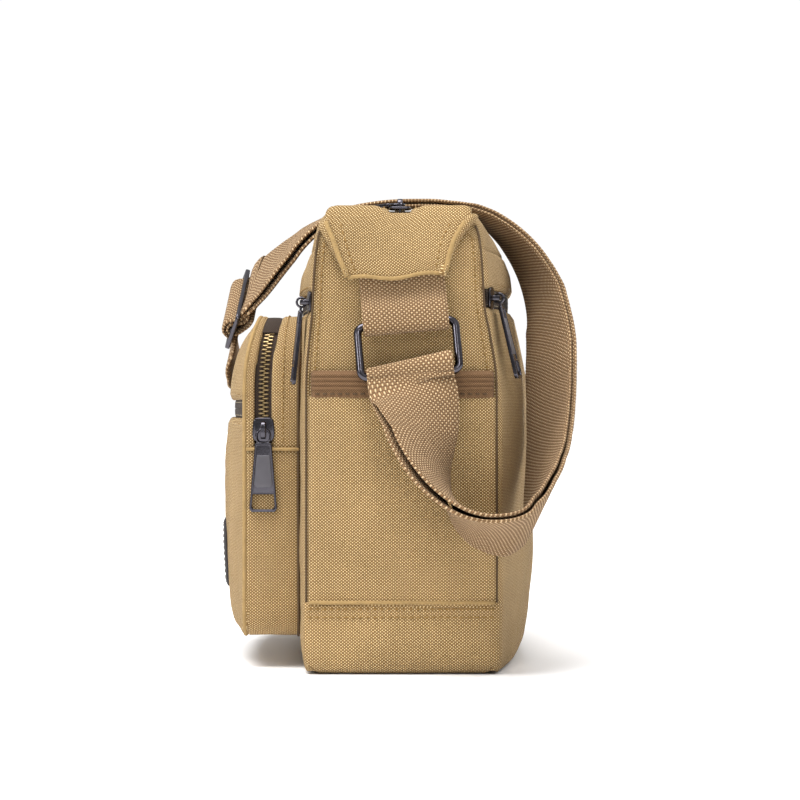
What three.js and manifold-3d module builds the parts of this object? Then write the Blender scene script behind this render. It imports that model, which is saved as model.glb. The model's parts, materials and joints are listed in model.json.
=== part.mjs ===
// Canvas messenger bag with a gusseted front pocket, end slip pockets and a
// webbing shoulder strap on two rectangular rings.
// Millimetres, +Z up. X runs along the bag, -Y is the front, Z = 0 is the floor.
import * as THREE from 'three';
import { mergeVertices } from 'three/addons/utils/BufferGeometryUtils.js';
import Module from 'manifold-3d';

const wasm = await Module();
wasm.setup();

// ---------------------------------------------------------------- driving sizes
const halfLength = 130;          // centre to the outer face of an end panel
const topZ = 205;                // crown of the top yokes
const wallThickness = 2;         // canvas and lining fused in one wall
const gap = 0.3;                 // running gap between touching pieces
const webbingWidth = 38;
const webbingThickness = 1.8;
const tapeHalfWidth = 9;         // zip tape, from the chain's centre line
const zipWindow = 5.8;           // half the opening between the fabric edges
const pocketHalfLength = 105;
const pocketTop = 158;
const pocketBottom = 14;
const pocketCorner = 24;
const frontReach = 85.2;         // front of the leather patch, from the body's centre plane
const backReach = 64.3;          // back wall's bulge, from the body's centre plane
const rowShiftY = (frontReach - backReach) / 2;

// Wall sections as [height, depth at the ends, depth at mid-length].
const frontLowerRows = [
  [0, 37.5, 39], [1.5, 41, 43.6], [6, 42.2, 46], [14, 42.4, 47.4], [35, 42.4, 48], [75, 42.4, 48.4],
  [115, 42.4, 48.4], [132, 42.2, 48.3], [146, 41, 48.2], [157, 39.8, 48],
];
const frontUpperRows = [[169, 39.4, 48.4], [178, 38.8, 46.4], [186, 37.6, 42.4]];
const backLowerRows = [
  [0, 39.5, 50], [1.5, 42.8, 55], [6, 43.8, 58.2], [14, 44.1, 60.2], [24, 44.1, 61.6], [42, 44.1, 63.3],
  [72, 44.1, 64.3], [100, 44.1, 63.6], [120, 43.8, 62], [135, 42.3, 59.6], [147, 40.2, 57], [159, 38.2, 54.4],
];
const backUpperRows = [[171, 38, 54], [179, 37.8, 52.4], [186, 36.8, 49.6]];
const frontZipZ = 163;
const backZipZ = 165;
const topZipZ = 202.6;
const faceZipZ = 116;

// ---------------------------------------------------------------- materials
function material(name, color, roughness, metalness = 0) {
  return new THREE.MeshStandardMaterial({ name, color, roughness, metalness });
}
const canvas = () => material('canvas', 0xb29262, 0.9);
const webbing = () => material('webbing', 0xbb9d74, 0.85);
const grosgrain = () => material('grosgrain', 0x7d6244, 0.85);
const zipTape = () => material('zip_tape', 0x4d423a, 0.8);
const gunmetal = () => material('gunmetal', 0x3c3a42, 0.3, 0.9);
const leather = () => material('leather', 0x241f20, 0.55);
const liningCloth = () => material('lining', 0x8d8470, 0.8);
const board = () => material('board', 0x5b5348, 0.7);

const bag = new THREE.Group();
bag.position.y = rowShiftY;

function add(name, geometry, finish) {
  const mesh = new THREE.Mesh(geometry, finish);
  mesh.name = name;
  bag.add(mesh);
  return mesh;
}

// ---------------------------------------------------------------- solid builders
const V = (x, y, z) => new THREE.Vector3(x, y, z);

// One closed geometry with its faces pointing out, from points and triangles.
function closedGeometry(points, triangles) {
  let volume = 0;
  const cross = new THREE.Vector3();
  for (const [a, b, c] of triangles) {
    volume += cross.crossVectors(points[b], points[c]).dot(points[a]);
  }
  const faces = volume < 0 ? triangles.map(([a, b, c]) => [a, c, b]) : triangles;
  const geometry = new THREE.BufferGeometry().setFromPoints(points);
  geometry.setIndex(faces.flat());
  geometry.computeVertexNormals();
  return geometry;
}

// A sheet between two equal grids of points, closed along its four edges.
function gridSolid(outer, inner) {
  const rows = outer.length;
  const cols = outer[0].length;
  const points = [...outer.flat(), ...inner.flat()];
  const at = (side, i, j) => side * rows * cols + i * cols + j;
  const triangles = [];
  const quad = (a, b, c, d) => triangles.push([a, b, c], [a, c, d]);
  for (let i = 0; i < rows - 1; i++) {
    for (let j = 0; j < cols - 1; j++) {
      quad(at(0, i, j), at(0, i + 1, j), at(0, i + 1, j + 1), at(0, i, j + 1));
      quad(at(1, i, j), at(1, i, j + 1), at(1, i + 1, j + 1), at(1, i + 1, j));
    }
    quad(at(0, i, 0), at(1, i, 0), at(1, i + 1, 0), at(0, i + 1, 0));
    quad(at(0, i, cols - 1), at(0, i + 1, cols - 1), at(1, i + 1, cols - 1), at(1, i, cols - 1));
  }
  for (let j = 0; j < cols - 1; j++) {
    quad(at(0, 0, j), at(0, 0, j + 1), at(1, 0, j + 1), at(1, 0, j));
    quad(at(0, rows - 1, j), at(1, rows - 1, j), at(1, rows - 1, j + 1), at(0, rows - 1, j + 1));
  }
  return closedGeometry(points, triangles);
}

// A sheet of even thickness whose second face lies towards the point inside.
function sheet(grid, thickness, inside) {
  const rows = grid.length;
  const cols = grid[0].length;
  const inner = grid.map((row, i) => row.map((point, j) => {
    const along = grid[Math.min(i + 1, rows - 1)][j].clone().sub(grid[Math.max(i - 1, 0)][j]);
    const across = row[Math.min(j + 1, cols - 1)].clone().sub(row[Math.max(j - 1, 0)]);
    const normal = along.cross(across).normalize();
    if (normal.dot(inside.clone().sub(point)) < 0) normal.negate();
    return point.clone().addScaledVector(normal, thickness);
  }));
  return gridSolid(grid, inner);
}

// A profile of [a, b] pairs carried along frames { o, a, b } and closed at both ends.
function sweep(frames, profile) {
  const count = profile.length;
  const points = [];
  for (const frame of frames) {
    for (const [a, b] of profile) {
      points.push(frame.o.clone().addScaledVector(frame.a, a).addScaledVector(frame.b, b));
    }
  }
  const triangles = [];
  for (let i = 0; i < frames.length - 1; i++) {
    for (let j = 0; j < count; j++) {
      const k = (j + 1) % count;
      triangles.push([i * count + j, i * count + k, (i + 1) * count + k]);
      triangles.push([i * count + j, (i + 1) * count + k, (i + 1) * count + j]);
    }
  }
  const outline = profile.map(([a, b]) => new THREE.Vector2(a, b));
  const turn = THREE.ShapeUtils.isClockWise(outline) ? -1 : 1;
  const last = (frames.length - 1) * count;
  for (const [p, q, r] of THREE.ShapeUtils.triangulateShape(outline, [])) {
    const cap = turn > 0 ? [p, r, q] : [p, q, r];
    triangles.push(cap, [last + cap[0], last + cap[2], last + cap[1]]);
  }
  return closedGeometry(points, triangles);
}

function block(x0, x1, y0, y1, z0, z1) {
  const geometry = new THREE.BoxGeometry(x1 - x0, y1 - y0, z1 - z0);
  geometry.translate((x0 + x1) / 2, (y0 + y1) / 2, (z0 + z1) / 2);
  return geometry;
}

function toManifold(geometry) {
  const bare = geometry.clone();
  bare.deleteAttribute('normal');
  bare.deleteAttribute('uv');
  const merged = mergeVertices(bare, 1e-4);
  return new wasm.Manifold(new wasm.Mesh({
    numProp: 3,
    vertProperties: new Float32Array(merged.attributes.position.array),
    triVerts: new Uint32Array(merged.index.array),
  }));
}

function fromManifold(solid) {
  const mesh = solid.getMesh();
  const geometry = new THREE.BufferGeometry();
  geometry.setAttribute('position', new THREE.BufferAttribute(new Float32Array(mesh.vertProperties), 3));
  geometry.setIndex(new THREE.BufferAttribute(new Uint32Array(mesh.triVerts), 1));
  geometry.computeVertexNormals();
  return geometry;
}

function joined(...pieces) {
  return fromManifold(pieces.map(toManifold).reduce((whole, piece) => whole.add(piece)));
}

function cut(solid, ...tools) {
  return fromManifold(tools.map(toManifold).reduce((whole, tool) => whole.subtract(tool), toManifold(solid)));
}

function polygon(points) {
  return new THREE.Shape(points.map(([x, y]) => new THREE.Vector2(x, y)));
}

// A flat outline of [x, y] points, raised from z0 to z1.
function slab(points, z0, z1, holes = []) {
  const shape = polygon(points);
  shape.holes = holes.map((hole) => new THREE.Path(hole.map(([x, y]) => new THREE.Vector2(x, y))));
  const geometry = new THREE.ExtrudeGeometry(shape, { depth: z1 - z0, bevelEnabled: false });
  geometry.translate(0, 0, z0);
  return geometry;
}

// ---------------------------------------------------------------- body shell
const insideBag = V(0, 0, 100);

function depthAt(row, x, reach = halfLength) {
  return row[1] + (row[2] - row[1]) * (1 - (x / reach) ** 2);
}

function wallSheet(rows, side, steps = 14) {
  const grid = rows.map((row) => {
    const line = [];
    for (let j = 0; j <= steps; j++) {
      const x = -halfLength + (2 * halfLength * j) / steps;
      line.push(V(x, side * depthAt(row, x), row[0]));
    }
    return line;
  });
  return sheet(grid, wallThickness, insideBag);
}

add('front_wall_lower', wallSheet(frontLowerRows, -1), canvas());
add('front_wall_upper', wallSheet(frontUpperRows, -1), canvas());
add('back_wall_lower', wallSheet(backLowerRows, 1), canvas());
add('back_wall_upper', wallSheet(backUpperRows, 1), canvas());

// Yoke sections as [depth at the ends, depth at mid-length, height], zip side first.
const yokeEdge = zipWindow + 0.5;
const frontYokeRows = [
  [yokeEdge, yokeEdge, topZ], [18, 18, topZ + 0.3], [29, 28, topZ - 1], [34.4, 33.6, topZ - 4.6],
  [36.8, 38.4, topZ - 11], [37.5, 42.2, topZ - 18.6],
];
const backYokeRows = [
  [yokeEdge, yokeEdge, topZ], [18, 18, topZ + 0.3], [28, 30, topZ - 1], [33.4, 37.6, topZ - 4.6],
  [36, 44.4, topZ - 11], [36.7, 49.3, topZ - 18.6],
];
const yokeHalfLength = 124;

function yokeSheet(rows, side, steps = 12) {
  const grid = rows.map(([endDepth, midDepth, z]) => {
    const line = [];
    for (let j = 0; j <= steps; j++) {
      const x = -yokeHalfLength + (2 * yokeHalfLength * j) / steps;
      line.push(V(x, side * depthAt([z, endDepth, midDepth], x), z));
    }
    return line;
  });
  return sheet(grid, wallThickness, insideBag);
}

add('top_yoke_front', yokeSheet(frontYokeRows, -1), canvas());
add('top_yoke_back', yokeSheet(backYokeRows, 1), canvas());

// Base: floor between the walls' lower edges, turned up over both end panels.
const baseTurnUp = 30;
const baseRows = [
  [132, baseTurnUp], [132, 8], [131.2, 3.6], [128.6, 1], [124, 0], [90, 0], [45, 0], [0, 0],
];
const baseLine = [...baseRows, ...baseRows.slice(0, -1).reverse().map(([x, z]) => [-x, z])];
const baseGrid = baseLine.map(([x, z]) => {
  const bow = Math.max(0, 1 - (x / halfLength) ** 2);
  const turned = z > 6;
  const front = turned ? 41.8 : 34.6 + 1.4 * bow;
  const back = turned ? 43.5 : 36.6 + 10 * bow;
  return [-front, -front / 3, back / 3, back].map((y) => V(x, y, z));
});
add('base_panel', sheet(baseGrid, 1.7, insideBag), canvas());
add('base_board', block(-122, 122, -32, 34, 2.2, 4.2), board());

// End panels stand between the front and back walls.
const endTop = 196;
const panelFoot = 6.8;
function endPanelOutline() {
  const inset = wallThickness + gap;
  const front = [...frontLowerRows.slice(2), ...frontUpperRows].map((row) => [-(row[1] - inset), row[0]]);
  const back = [...backLowerRows.slice(2), ...backUpperRows].map((row) => [row[1] - inset, row[0]]);
  front[0][1] = panelFoot;
  back[0][1] = panelFoot;
  return [...front, [-27, endTop], [27, endTop], ...back.reverse()];
}

function endPanel() {
  const geometry = slab(endPanelOutline(), 0, wallThickness);
  // Outline (x, y) becomes (Y, Z), and the thickness runs along X.
  geometry.rotateX(Math.PI / 2);
  geometry.rotateZ(Math.PI / 2);
  return geometry;
}

// Flap: the top's end folded over the end panel, narrowing to the webbing tab.
// Rows as [x, z, front edge, back edge].
const flapRows = [
  [124.5, 202.6, -31.5, 30], [128.6, 202.4, -32.4, 30.6], [132.3, 199.6, -32.4, 30.2],
  [134.6, 193.6, -31, 29], [135.8, 185, -28, 25.6], [136.2, 173.4, -24, 19.6],
];

function endFlap() {
  const grid = flapRows.map(([x, z, front, back]) => {
    const line = [];
    for (let j = 0; j <= 6; j++) line.push(V(x, front + ((back - front) * j) / 6, z));
    return line;
  });
  return sheet(grid, 1.5, V(100, 0, 150));
}

// Slip pocket: a bowed panel on the end, with a ribbed band along its mouth.
const slipTop = 121;
const bandTop = 132;
function slipSurface(y, z, proud) {
  const middle = 1.5;
  const across = Math.max(0, 1 - ((y - middle) / 40) ** 2);
  const rise = Math.min(1, Math.max(0, (z - 36) / 80));
  return halfLength + 2 + proud + 5.6 * across * rise ** 1.4;
}

function slipSheet(zList, thickness, proud) {
  const grid = zList.map((z) => {
    const line = [];
    for (let j = 0; j <= 10; j++) {
      const y = -38.4 + (79 * j) / 10;
      line.push(V(slipSurface(y, z, proud), y, z));
    }
    return line;
  });
  return sheet(grid, thickness, V(100, 0, 100));
}

// ---------------------------------------------------------------- webbing tab and ring
const wire = 3.6;
const ringInnerHalf = 19.6;
const ringInnerHeight = 19.4;
const ringInnerCorner = 1.6;
const ringTop = [136.6, 2.6, 153.4];  // centre of the top bar
const ringLean = 14;                  // degrees, lower bar outwards
const tabTilt = 5;                    // degrees, front corner lower

function roundedRect(halfWidth, halfHeight, radius, steps = 3) {
  const points = [];
  const corners = [[1, 1], [-1, 1], [-1, -1], [1, -1]];
  corners.forEach(([sx, sy], index) => {
    for (let k = 0; k <= steps; k++) {
      const angle = (Math.PI / 2) * (index + k / steps);
      points.push([
        sx * (halfWidth - radius) + radius * Math.cos(angle),
        sy * (halfHeight - radius) + radius * Math.sin(angle),
      ]);
    }
  });
  return points;
}

// Round wire bent into a rounded rectangle, lying in the local XZ plane under its top bar.
function ringGeometry() {
  const halfWidth = ringInnerHalf + wire / 2;
  const halfHeight = (ringInnerHeight + wire) / 2;
  const path = roundedRect(halfWidth, halfHeight, ringInnerCorner + wire / 2, 4);
  const sides = 8;
  const points = [];
  const triangles = [];
  path.forEach(([px, pz], i) => {
    const before = path[(i + path.length - 1) % path.length];
    const after = path[(i + 1) % path.length];
    const tangent = new THREE.Vector2(after[0] - before[0], after[1] - before[1]).normalize();
    for (let k = 0; k < sides; k++) {
      const angle = (2 * Math.PI * k) / sides;
      const out = (wire / 2) * Math.cos(angle);
      points.push(V(px + tangent.y * out, (wire / 2) * Math.sin(angle), pz - tangent.x * out - halfHeight));
      const next = (i + 1) % path.length;
      const turn = (k + 1) % sides;
      triangles.push([i * sides + k, i * sides + turn, next * sides + turn]);
      triangles.push([i * sides + k, next * sides + turn, next * sides + k]);
    }
  });
  return closedGeometry(points, triangles);
}

// Ribbon with a flat section: frames give its middle, its face normal and its width direction.
function ribbon(frames, width, thickness) {
  const w = width / 2;
  const t = thickness / 2;
  return sweep(frames, [[t, -w], [t, w], [-t, w], [-t, -w]]);
}

// Frames for a path in a plane across which the ribbon's width runs.
function planarFrames(points, widthAxis) {
  return points.map((o, i) => {
    const after = points[Math.min(i + 1, points.length - 1)];
    const tangent = after.clone().sub(points[Math.max(i - 1, 0)]).normalize();
    return { o, a: tangent.clone().cross(widthAxis).normalize(), b: widthAxis };
  });
}

// Tab: webbing that runs down under the flap, round the ring's top bar and back up.
function tabGeometry() {
  const [x, , z] = ringTop;
  const loop = wire / 2 + 0.9 + webbingThickness / 2;
  const points = [V(133.1, 0, 184), V(133.1, 0, 172), V(134.4, 0, 166), V(x + 2.6, 0, z + 6.4)];
  for (let k = 0; k <= 8; k++) {
    const angle = 0.25 - ((Math.PI + 0.5) * k) / 8;
    points.push(V(x + loop * Math.cos(angle), 0, z + loop * Math.sin(angle)));
  }
  points.push(V(x - 3.1, 0, z + 6.4), V(131.6, 0, 166), V(131.1, 0, 172), V(131.1, 0, 184));
  return ribbon(planarFrames(points, V(0, 1, 0)), webbingWidth - 0.4, webbingThickness - 0.2);
}

// The same end assembly at +X and, mirrored in X, at -X.
function mirrorX(geometry) {
  const mirrored = geometry.index ? geometry.toNonIndexed() : geometry.clone();
  const position = mirrored.attributes.position;
  for (let i = 0; i < position.count; i += 3) {
    const corners = [0, 2, 1].map((k) => [
      -position.getX(i + k), position.getY(i + k), position.getZ(i + k),
    ]);
    corners.forEach(([x, y, z], k) => position.setXYZ(i + k, x, y, z));
  }
  mirrored.computeVertexNormals();
  return mirrored;
}

function tiltAboutRing(geometry) {
  const [x, y, z] = ringTop;
  geometry.translate(-x, 0, -z);
  geometry.rotateX(THREE.MathUtils.degToRad(tabTilt));
  geometry.translate(x, y, z);
  return geometry;
}

function hangingRing() {
  const geometry = ringGeometry();
  geometry.rotateZ(Math.PI / 2);
  geometry.rotateY(THREE.MathUtils.degToRad(-ringLean));
  geometry.translate(ringTop[0], 0, ringTop[2]);
  return tiltAboutRing(geometry);
}

const panelAtEnd = endPanel();
panelAtEnd.translate(halfLength - wallThickness, 0, 0);
const endPieces = [
  ['end_panel', panelAtEnd, canvas],
  ['end_flap', endFlap(), canvas],
  ['slip_pocket', slipSheet([30.6, 36, 50, 70, 90, 108, slipTop - gap], 1.5, 0), canvas],
  ['pocket_band', slipSheet([slipTop, (slipTop + bandTop) / 2, bandTop], 1.9, 0.4), grosgrain],
  ['webbing_tab', tiltAboutRing(tabGeometry()), webbing],
  ['ring', hangingRing(), gunmetal],
];
for (const [name, geometry, finish] of endPieces) {
  add(`${name}_right`, geometry, finish());
  add(`${name}_left`, mirrorX(geometry), finish());
}

// ---------------------------------------------------------------- zips
const chainSlot = 0.8;        // half the slot that the slider's post runs in
const chainHalfWidth = 3.2;
const chainHalfHeight = 1.1;
const tapeHalfThickness = 0.4;

// Section of one zip half: [outward, across], tape with the chain's bead on its inner edge.
function zipProfile(side, half = tapeHalfWidth) {
  return [
    [chainHalfHeight, side * chainSlot], [chainHalfHeight, side * chainHalfWidth],
    [tapeHalfThickness, side * chainHalfWidth], [tapeHalfThickness, side * half],
    [-tapeHalfThickness, side * half], [-tapeHalfThickness, side * chainHalfWidth],
    [-chainHalfHeight, side * chainHalfWidth], [-chainHalfHeight, side * chainSlot],
  ];
}

// Slider in its own frame: travel along X, outwards along Z, chain's middle at the origin.
const plateTop = 2.6;
const bridgeTop = 6.2;
const bridgeBar = 1.2;
const bridgeHalf = 3.5;
const bridgeHalfWidth = 1;
function sliderGeometry() {
  const outline = [
    [-5.5, -3.4], [-3.5, -4.9], [0.5, -5.1], [5.5, -4.2], [5.5, 4.2], [0.5, 5.1], [-3.5, 4.9], [-5.5, 3.4],
  ];
  const b = bridgeHalf;
  const w = bridgeHalfWidth;
  const upper = slab(outline, chainHalfHeight + 0.3, plateTop);
  const lower = slab(outline, -plateTop, -chainHalfHeight - 0.3);
  const post = block(2, 4.6, -0.5, 0.5, -1.8, 1.8);
  const bar = block(-b, b, -w, w, bridgeTop - bridgeBar, bridgeTop);
  const legs = [-b, b - 1.5].map((x) => block(x, x + 1.5, -w, w, 2, bridgeTop - 0.2));
  return joined(upper, lower, post, bar, ...legs);
}

// Pull plate hanging along -Z from its hinge line at z = 0, lying in the XZ plane.
const pullLength = 36.5;
const pullThickness = 1.6;
function pullPlate(topZed, topHalf, holes) {
  const outline = [
    [-topHalf, topZed], [topHalf, topZed], [topHalf + 0.6, -8], [6.2, -pullLength + 2],
    [5.4, -pullLength], [-5.4, -pullLength], [-6.2, -pullLength + 2], [-topHalf - 0.6, -8],
  ];
  const geometry = slab(outline, -pullThickness / 2, pullThickness / 2, holes);
  geometry.rotateX(Math.PI / 2);
  return geometry;
}
const pullWindow = [[-4.6, -34.8], [4.6, -34.8], [4.6, -28.8], [-4.6, -28.8]];

// Eye cut in the plate: its end rim lies in the slider's tunnel and is the hinge line.
function inlinePull() {
  const eye = [[-2.5, -5.4], [2.5, -5.4], [2.5, -0.6], [-2.5, -0.6]];
  return pullPlate(0.6, 4, [eye, pullWindow]);
}

// Eye standing across the plate, round the slider's bar: the bar's middle is the hinge line.
function crossPull() {
  const rim = [];
  const hole = [];
  for (let k = 0; k < 12; k++) {
    const angle = (2 * Math.PI * k) / 12;
    rim.push([2.6 * Math.cos(angle), 2.6 * Math.sin(angle)]);
    hole.push([1.5 * Math.cos(angle), 1.5 * Math.sin(angle)]);
  }
  const eye = slab(rim, -0.8, 0.8, [hole]);
  eye.rotateY(Math.PI / 2);
  const neck = block(-0.8, 0.8, -0.8, 0.8, -4, -1.9);
  return joined(eye, neck, pullPlate(-3.2, 3.2, [pullWindow]));
}

const slider = sliderGeometry();
const hangingPull = crossPull();
const inPull = inlinePull();
const hingeHeightCross = bridgeTop - bridgeBar / 2;
const hingeHeightInline = (plateTop + bridgeTop - bridgeBar) / 2;

// Places a geometry by its travel direction, outward direction and origin.
function placed(geometry, travel, outward, origin) {
  const side = outward.clone().cross(travel);
  const basis = new THREE.Matrix4().makeBasis(travel, side, outward);
  return geometry.clone().applyMatrix4(basis.setPosition(origin));
}

// Frames of a zip that follows a wall's plan curve at one height.
function curvedZipFrames(side, middle, end, reach, half, z, steps) {
  const bulge = middle - end;
  const radius = (reach * reach + bulge * bulge) / (2 * bulge);
  const frames = [];
  for (let i = 0; i <= steps; i++) {
    const x = -half + (2 * half * i) / steps;
    const depth = middle - radius + Math.sqrt(radius * radius - x * x);
    const outward = V(x / radius, (side * Math.sqrt(radius * radius - x * x)) / radius, 0);
    frames.push({ o: V(x, side * depth, z), a: outward, b: V(0, 0, 1) });
  }
  return { frames, radius };
}

function curvedSlider(name, zip, side, middle, x, z, tilt) {
  const angle = Math.asin(x / zip.radius);
  const outward = V(Math.sin(angle), side * Math.cos(angle), 0);
  const travel = V(Math.cos(angle), -side * Math.sin(angle), 0);
  const centre = V(0, side * (middle - zip.radius), z);
  const origin = centre.clone().addScaledVector(outward, zip.radius);
  add(`${name}_slider`, placed(slider, travel, outward, origin), gunmetal());
  const hinge = centre.addScaledVector(outward, zip.radius + hingeHeightCross);
  // The pull's plate hangs along -Z with its face towards the outward direction.
  const hang = new THREE.Matrix4().makeBasis(travel.clone(), V(0, 0, 1).cross(travel), V(0, 0, 1));
  const pull = hangingPull.clone().rotateX(THREE.MathUtils.degToRad(side * tilt));
  add(`${name}_pull`, pull.applyMatrix4(hang.setPosition(hinge)), gunmetal());
}

// Depth of a tape's middle under its wall.
const tapeInset = wallThickness + gap + tapeHalfThickness;

// Top zip, straight along X between the yokes.
const topZipHalf = 121.5;
for (const [name, side] of [['front', -1], ['back', 1]]) {
  const ends = [-topZipHalf, topZipHalf];
  const frames = ends.map((x) => ({ o: V(x, 0, topZipZ), a: V(0, 0, 1), b: V(0, 1, 0) }));
  add(`top_zip_${name}_half`, sweep(frames, zipProfile(side)), zipTape());
}
const topSliderX = 115.5;
add('top_zip_slider', placed(slider, V(1, 0, 0), V(0, 0, 1), V(topSliderX, 0, topZipZ)), gunmetal());
const topPullYaw = 24;
function topPull() {
  const geometry = inPull.clone();
  // From hanging along -Z to lying back along -X, then turned towards the front yoke.
  geometry.rotateZ(Math.PI / 2);
  geometry.rotateY(Math.PI / 2);
  geometry.rotateZ(THREE.MathUtils.degToRad(topPullYaw));
  geometry.translate(topSliderX, 0, topZipZ + hingeHeightInline);
  return geometry;
}
add('top_zip_pull', topPull(), gunmetal());

// Back zip, on an arc of the back wall.
const backZipMiddle = 53.1 - tapeInset;
const backZipEnd = 37.6 - tapeInset;
const backZip = curvedZipFrames(1, backZipMiddle, backZipEnd, halfLength, 122, backZipZ, 14);
add('back_zip_upper_half', sweep(backZip.frames, zipProfile(1)), zipTape());
add('back_zip_lower_half', sweep(backZip.frames, zipProfile(-1)), zipTape());
curvedSlider('back_zip', backZip, 1, backZipMiddle, 115, backZipZ, 14);

// Front wall zip, above the pocket.
const frontZipMiddle = 47.7 - tapeInset;
const frontZipEnd = 39.3 - tapeInset;
const frontZip = curvedZipFrames(-1, frontZipMiddle, frontZipEnd, halfLength, 127, frontZipZ, 12);
add('front_zip_upper_half', sweep(frontZip.frames, zipProfile(1)), zipTape());
add('front_zip_lower_half', sweep(frontZip.frames, zipProfile(-1)), zipTape());
curvedSlider('front_zip', frontZip, -1, frontZipMiddle, 120, frontZipZ, 6);

// ---------------------------------------------------------------- front pocket
const pocketSeamY = 70;       // where the gusset meets the front face
const pocketWallY = 48.9;     // where the gusset meets the front wall
const pocketZipY = 60.9;
// Front face bulge as [height, bulge at mid-length].
const faceLowerRows = [[17, 8.6], [22, 10.4], [32, 12], [52, 13.2], [75, 13.3], [96, 12.4], [110, 11.3]];
const faceUpperRows = [[122, 10], [134, 8.2], [143, 6.3], [150, 4], [155, 1.6], [157.4, 0]];

function pocketHalfWidth(z) {
  const start = pocketTop - pocketCorner;
  if (z <= start) return pocketHalfLength;
  return pocketHalfLength - pocketCorner + Math.sqrt(Math.max(0, pocketCorner ** 2 - (z - start) ** 2));
}

function pocketFace(rows, steps = 12) {
  const grid = rows.map(([z, bulge]) => {
    const reach = pocketHalfWidth(z);
    const line = [];
    for (let j = 0; j <= steps; j++) {
      const x = -reach + (2 * reach * j) / steps;
      line.push(V(x, -(pocketSeamY + bulge * (1 - (x / pocketHalfLength) ** 2)), z));
    }
    return line;
  });
  return sheet(grid, 1.6, V(0, -50, 85));
}
add('pocket_face_lower', pocketFace(faceLowerRows), canvas());
add('pocket_face_upper', pocketFace(faceUpperRows), canvas());

const faceZipBulge = 9.7;
const faceInset = 1.6 + gap + tapeHalfThickness;
const faceZipMiddle = pocketSeamY + faceZipBulge - faceInset;
const faceZipEnd = pocketSeamY - faceInset;
const faceZip = curvedZipFrames(-1, faceZipMiddle, faceZipEnd, pocketHalfLength, 99, faceZipZ, 12);
add('face_zip_upper_half', sweep(faceZip.frames, zipProfile(1)), zipTape());
add('face_zip_lower_half', sweep(faceZip.frames, zipProfile(-1)), zipTape());
curvedSlider('face_zip', faceZip, -1, faceZipMiddle, -91, faceZipZ, 4);

// Points of the pocket's upright U, from the near foot over the top to the far foot.
function pocketArch(inset, foot, corner = pocketCorner) {
  const radius = corner - inset;
  const cx = pocketHalfLength - corner;
  const cz = pocketTop - corner;
  const points = [[pocketHalfLength - inset, foot]];
  for (let k = 0; k <= 5; k++) {
    const angle = (Math.PI / 2) * (k / 5);
    points.push([cx + radius * Math.cos(angle), cz + radius * Math.sin(angle)]);
  }
  const far = points.map(([x, z]) => [-x, z]).reverse();
  return [...points, ...far];
}

// A band between two arches, from y0 to y1.
function archBand(outerInset, innerInset, foot, y0, y1) {
  const outline = [...pocketArch(outerInset, foot), ...pocketArch(innerInset, foot).reverse()];
  const geometry = slab(outline, 0, y1 - y0);
  geometry.rotateX(Math.PI / 2);
  geometry.translate(0, y1, 0);
  return geometry;
}

const gussetThickness = 1.6;
const gussetSeamZ = 98;
const gussetFront = pocketSeamY - gussetThickness - 2 * gap;
const gussetFoot = gussetSeamZ + gap;
add('pocket_gusset_front', archBand(0, gussetThickness, gussetFoot,
  -gussetFront, -(pocketZipY + zipWindow)), canvas());
add('pocket_gusset_back', archBand(0, gussetThickness, gussetFoot,
  -(pocketZipY - zipWindow), -pocketWallY), canvas());

// The lower gusset turns under the pocket from seam to seam.
function gussetBase() {
  const corner = 14;
  const side = (inset) => {
    const points = [[pocketHalfLength - inset, gussetSeamZ]];
    for (let k = 0; k <= 4; k++) {
      const angle = -(Math.PI / 2) * (k / 4);
      points.push([
        pocketHalfLength - corner + (corner - inset) * Math.cos(angle),
        pocketBottom + corner + (corner - inset) * Math.sin(angle),
      ]);
    }
    return [...points, ...points.map(([x, z]) => [-x, z]).reverse()];
  };
  const geometry = slab([...side(0), ...side(gussetThickness).reverse()], 0, gussetFront - pocketWallY);
  geometry.rotateX(Math.PI / 2);
  geometry.translate(0, -pocketWallY, 0);
  return geometry;
}
add('pocket_gusset_base', gussetBase(), canvas());

// The pocket's U zip lies just under the gusset strips.
const archTapeHalf = 6.8;
const uInset = gussetThickness + gap + tapeHalfThickness;
function archZipFrames() {
  const arch = pocketArch(uInset, gussetFoot);
  const centre = [pocketHalfLength - pocketCorner, pocketTop - pocketCorner];
  return arch.map(([x, z]) => {
    const awayX = Math.sign(x) * Math.max(0, Math.abs(x) - centre[0]);
    const away = V(awayX, 0, Math.max(0, z - centre[1])).normalize();
    return { o: V(x, -pocketZipY, z), a: away, b: V(0, 1, 0) };
  });
}
add('pocket_zip_outer_half', sweep(archZipFrames(), zipProfile(-1, archTapeHalf)), zipTape());
add('pocket_zip_inner_half', sweep(archZipFrames(), zipProfile(1, archTapeHalf)), zipTape());
const uSliderZ = 106.6;
const uSliderX = pocketHalfLength - uInset;
add('pocket_zip_slider',
  placed(slider, V(0, 0, 1), V(1, 0, 0), V(uSliderX, -pocketZipY, uSliderZ)), gunmetal());
const uPull = inPull.clone();
uPull.rotateZ(Math.PI / 2);
uPull.translate(uSliderX + hingeHeightInline, -pocketZipY, uSliderZ);
add('pocket_zip_pull', uPull, gunmetal());

// Blank leather patch on the pocket's face.
add('leather_patch', block(-26, 26, -frontReach, -frontReach + 1.4, 32, 64), leather());

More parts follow.
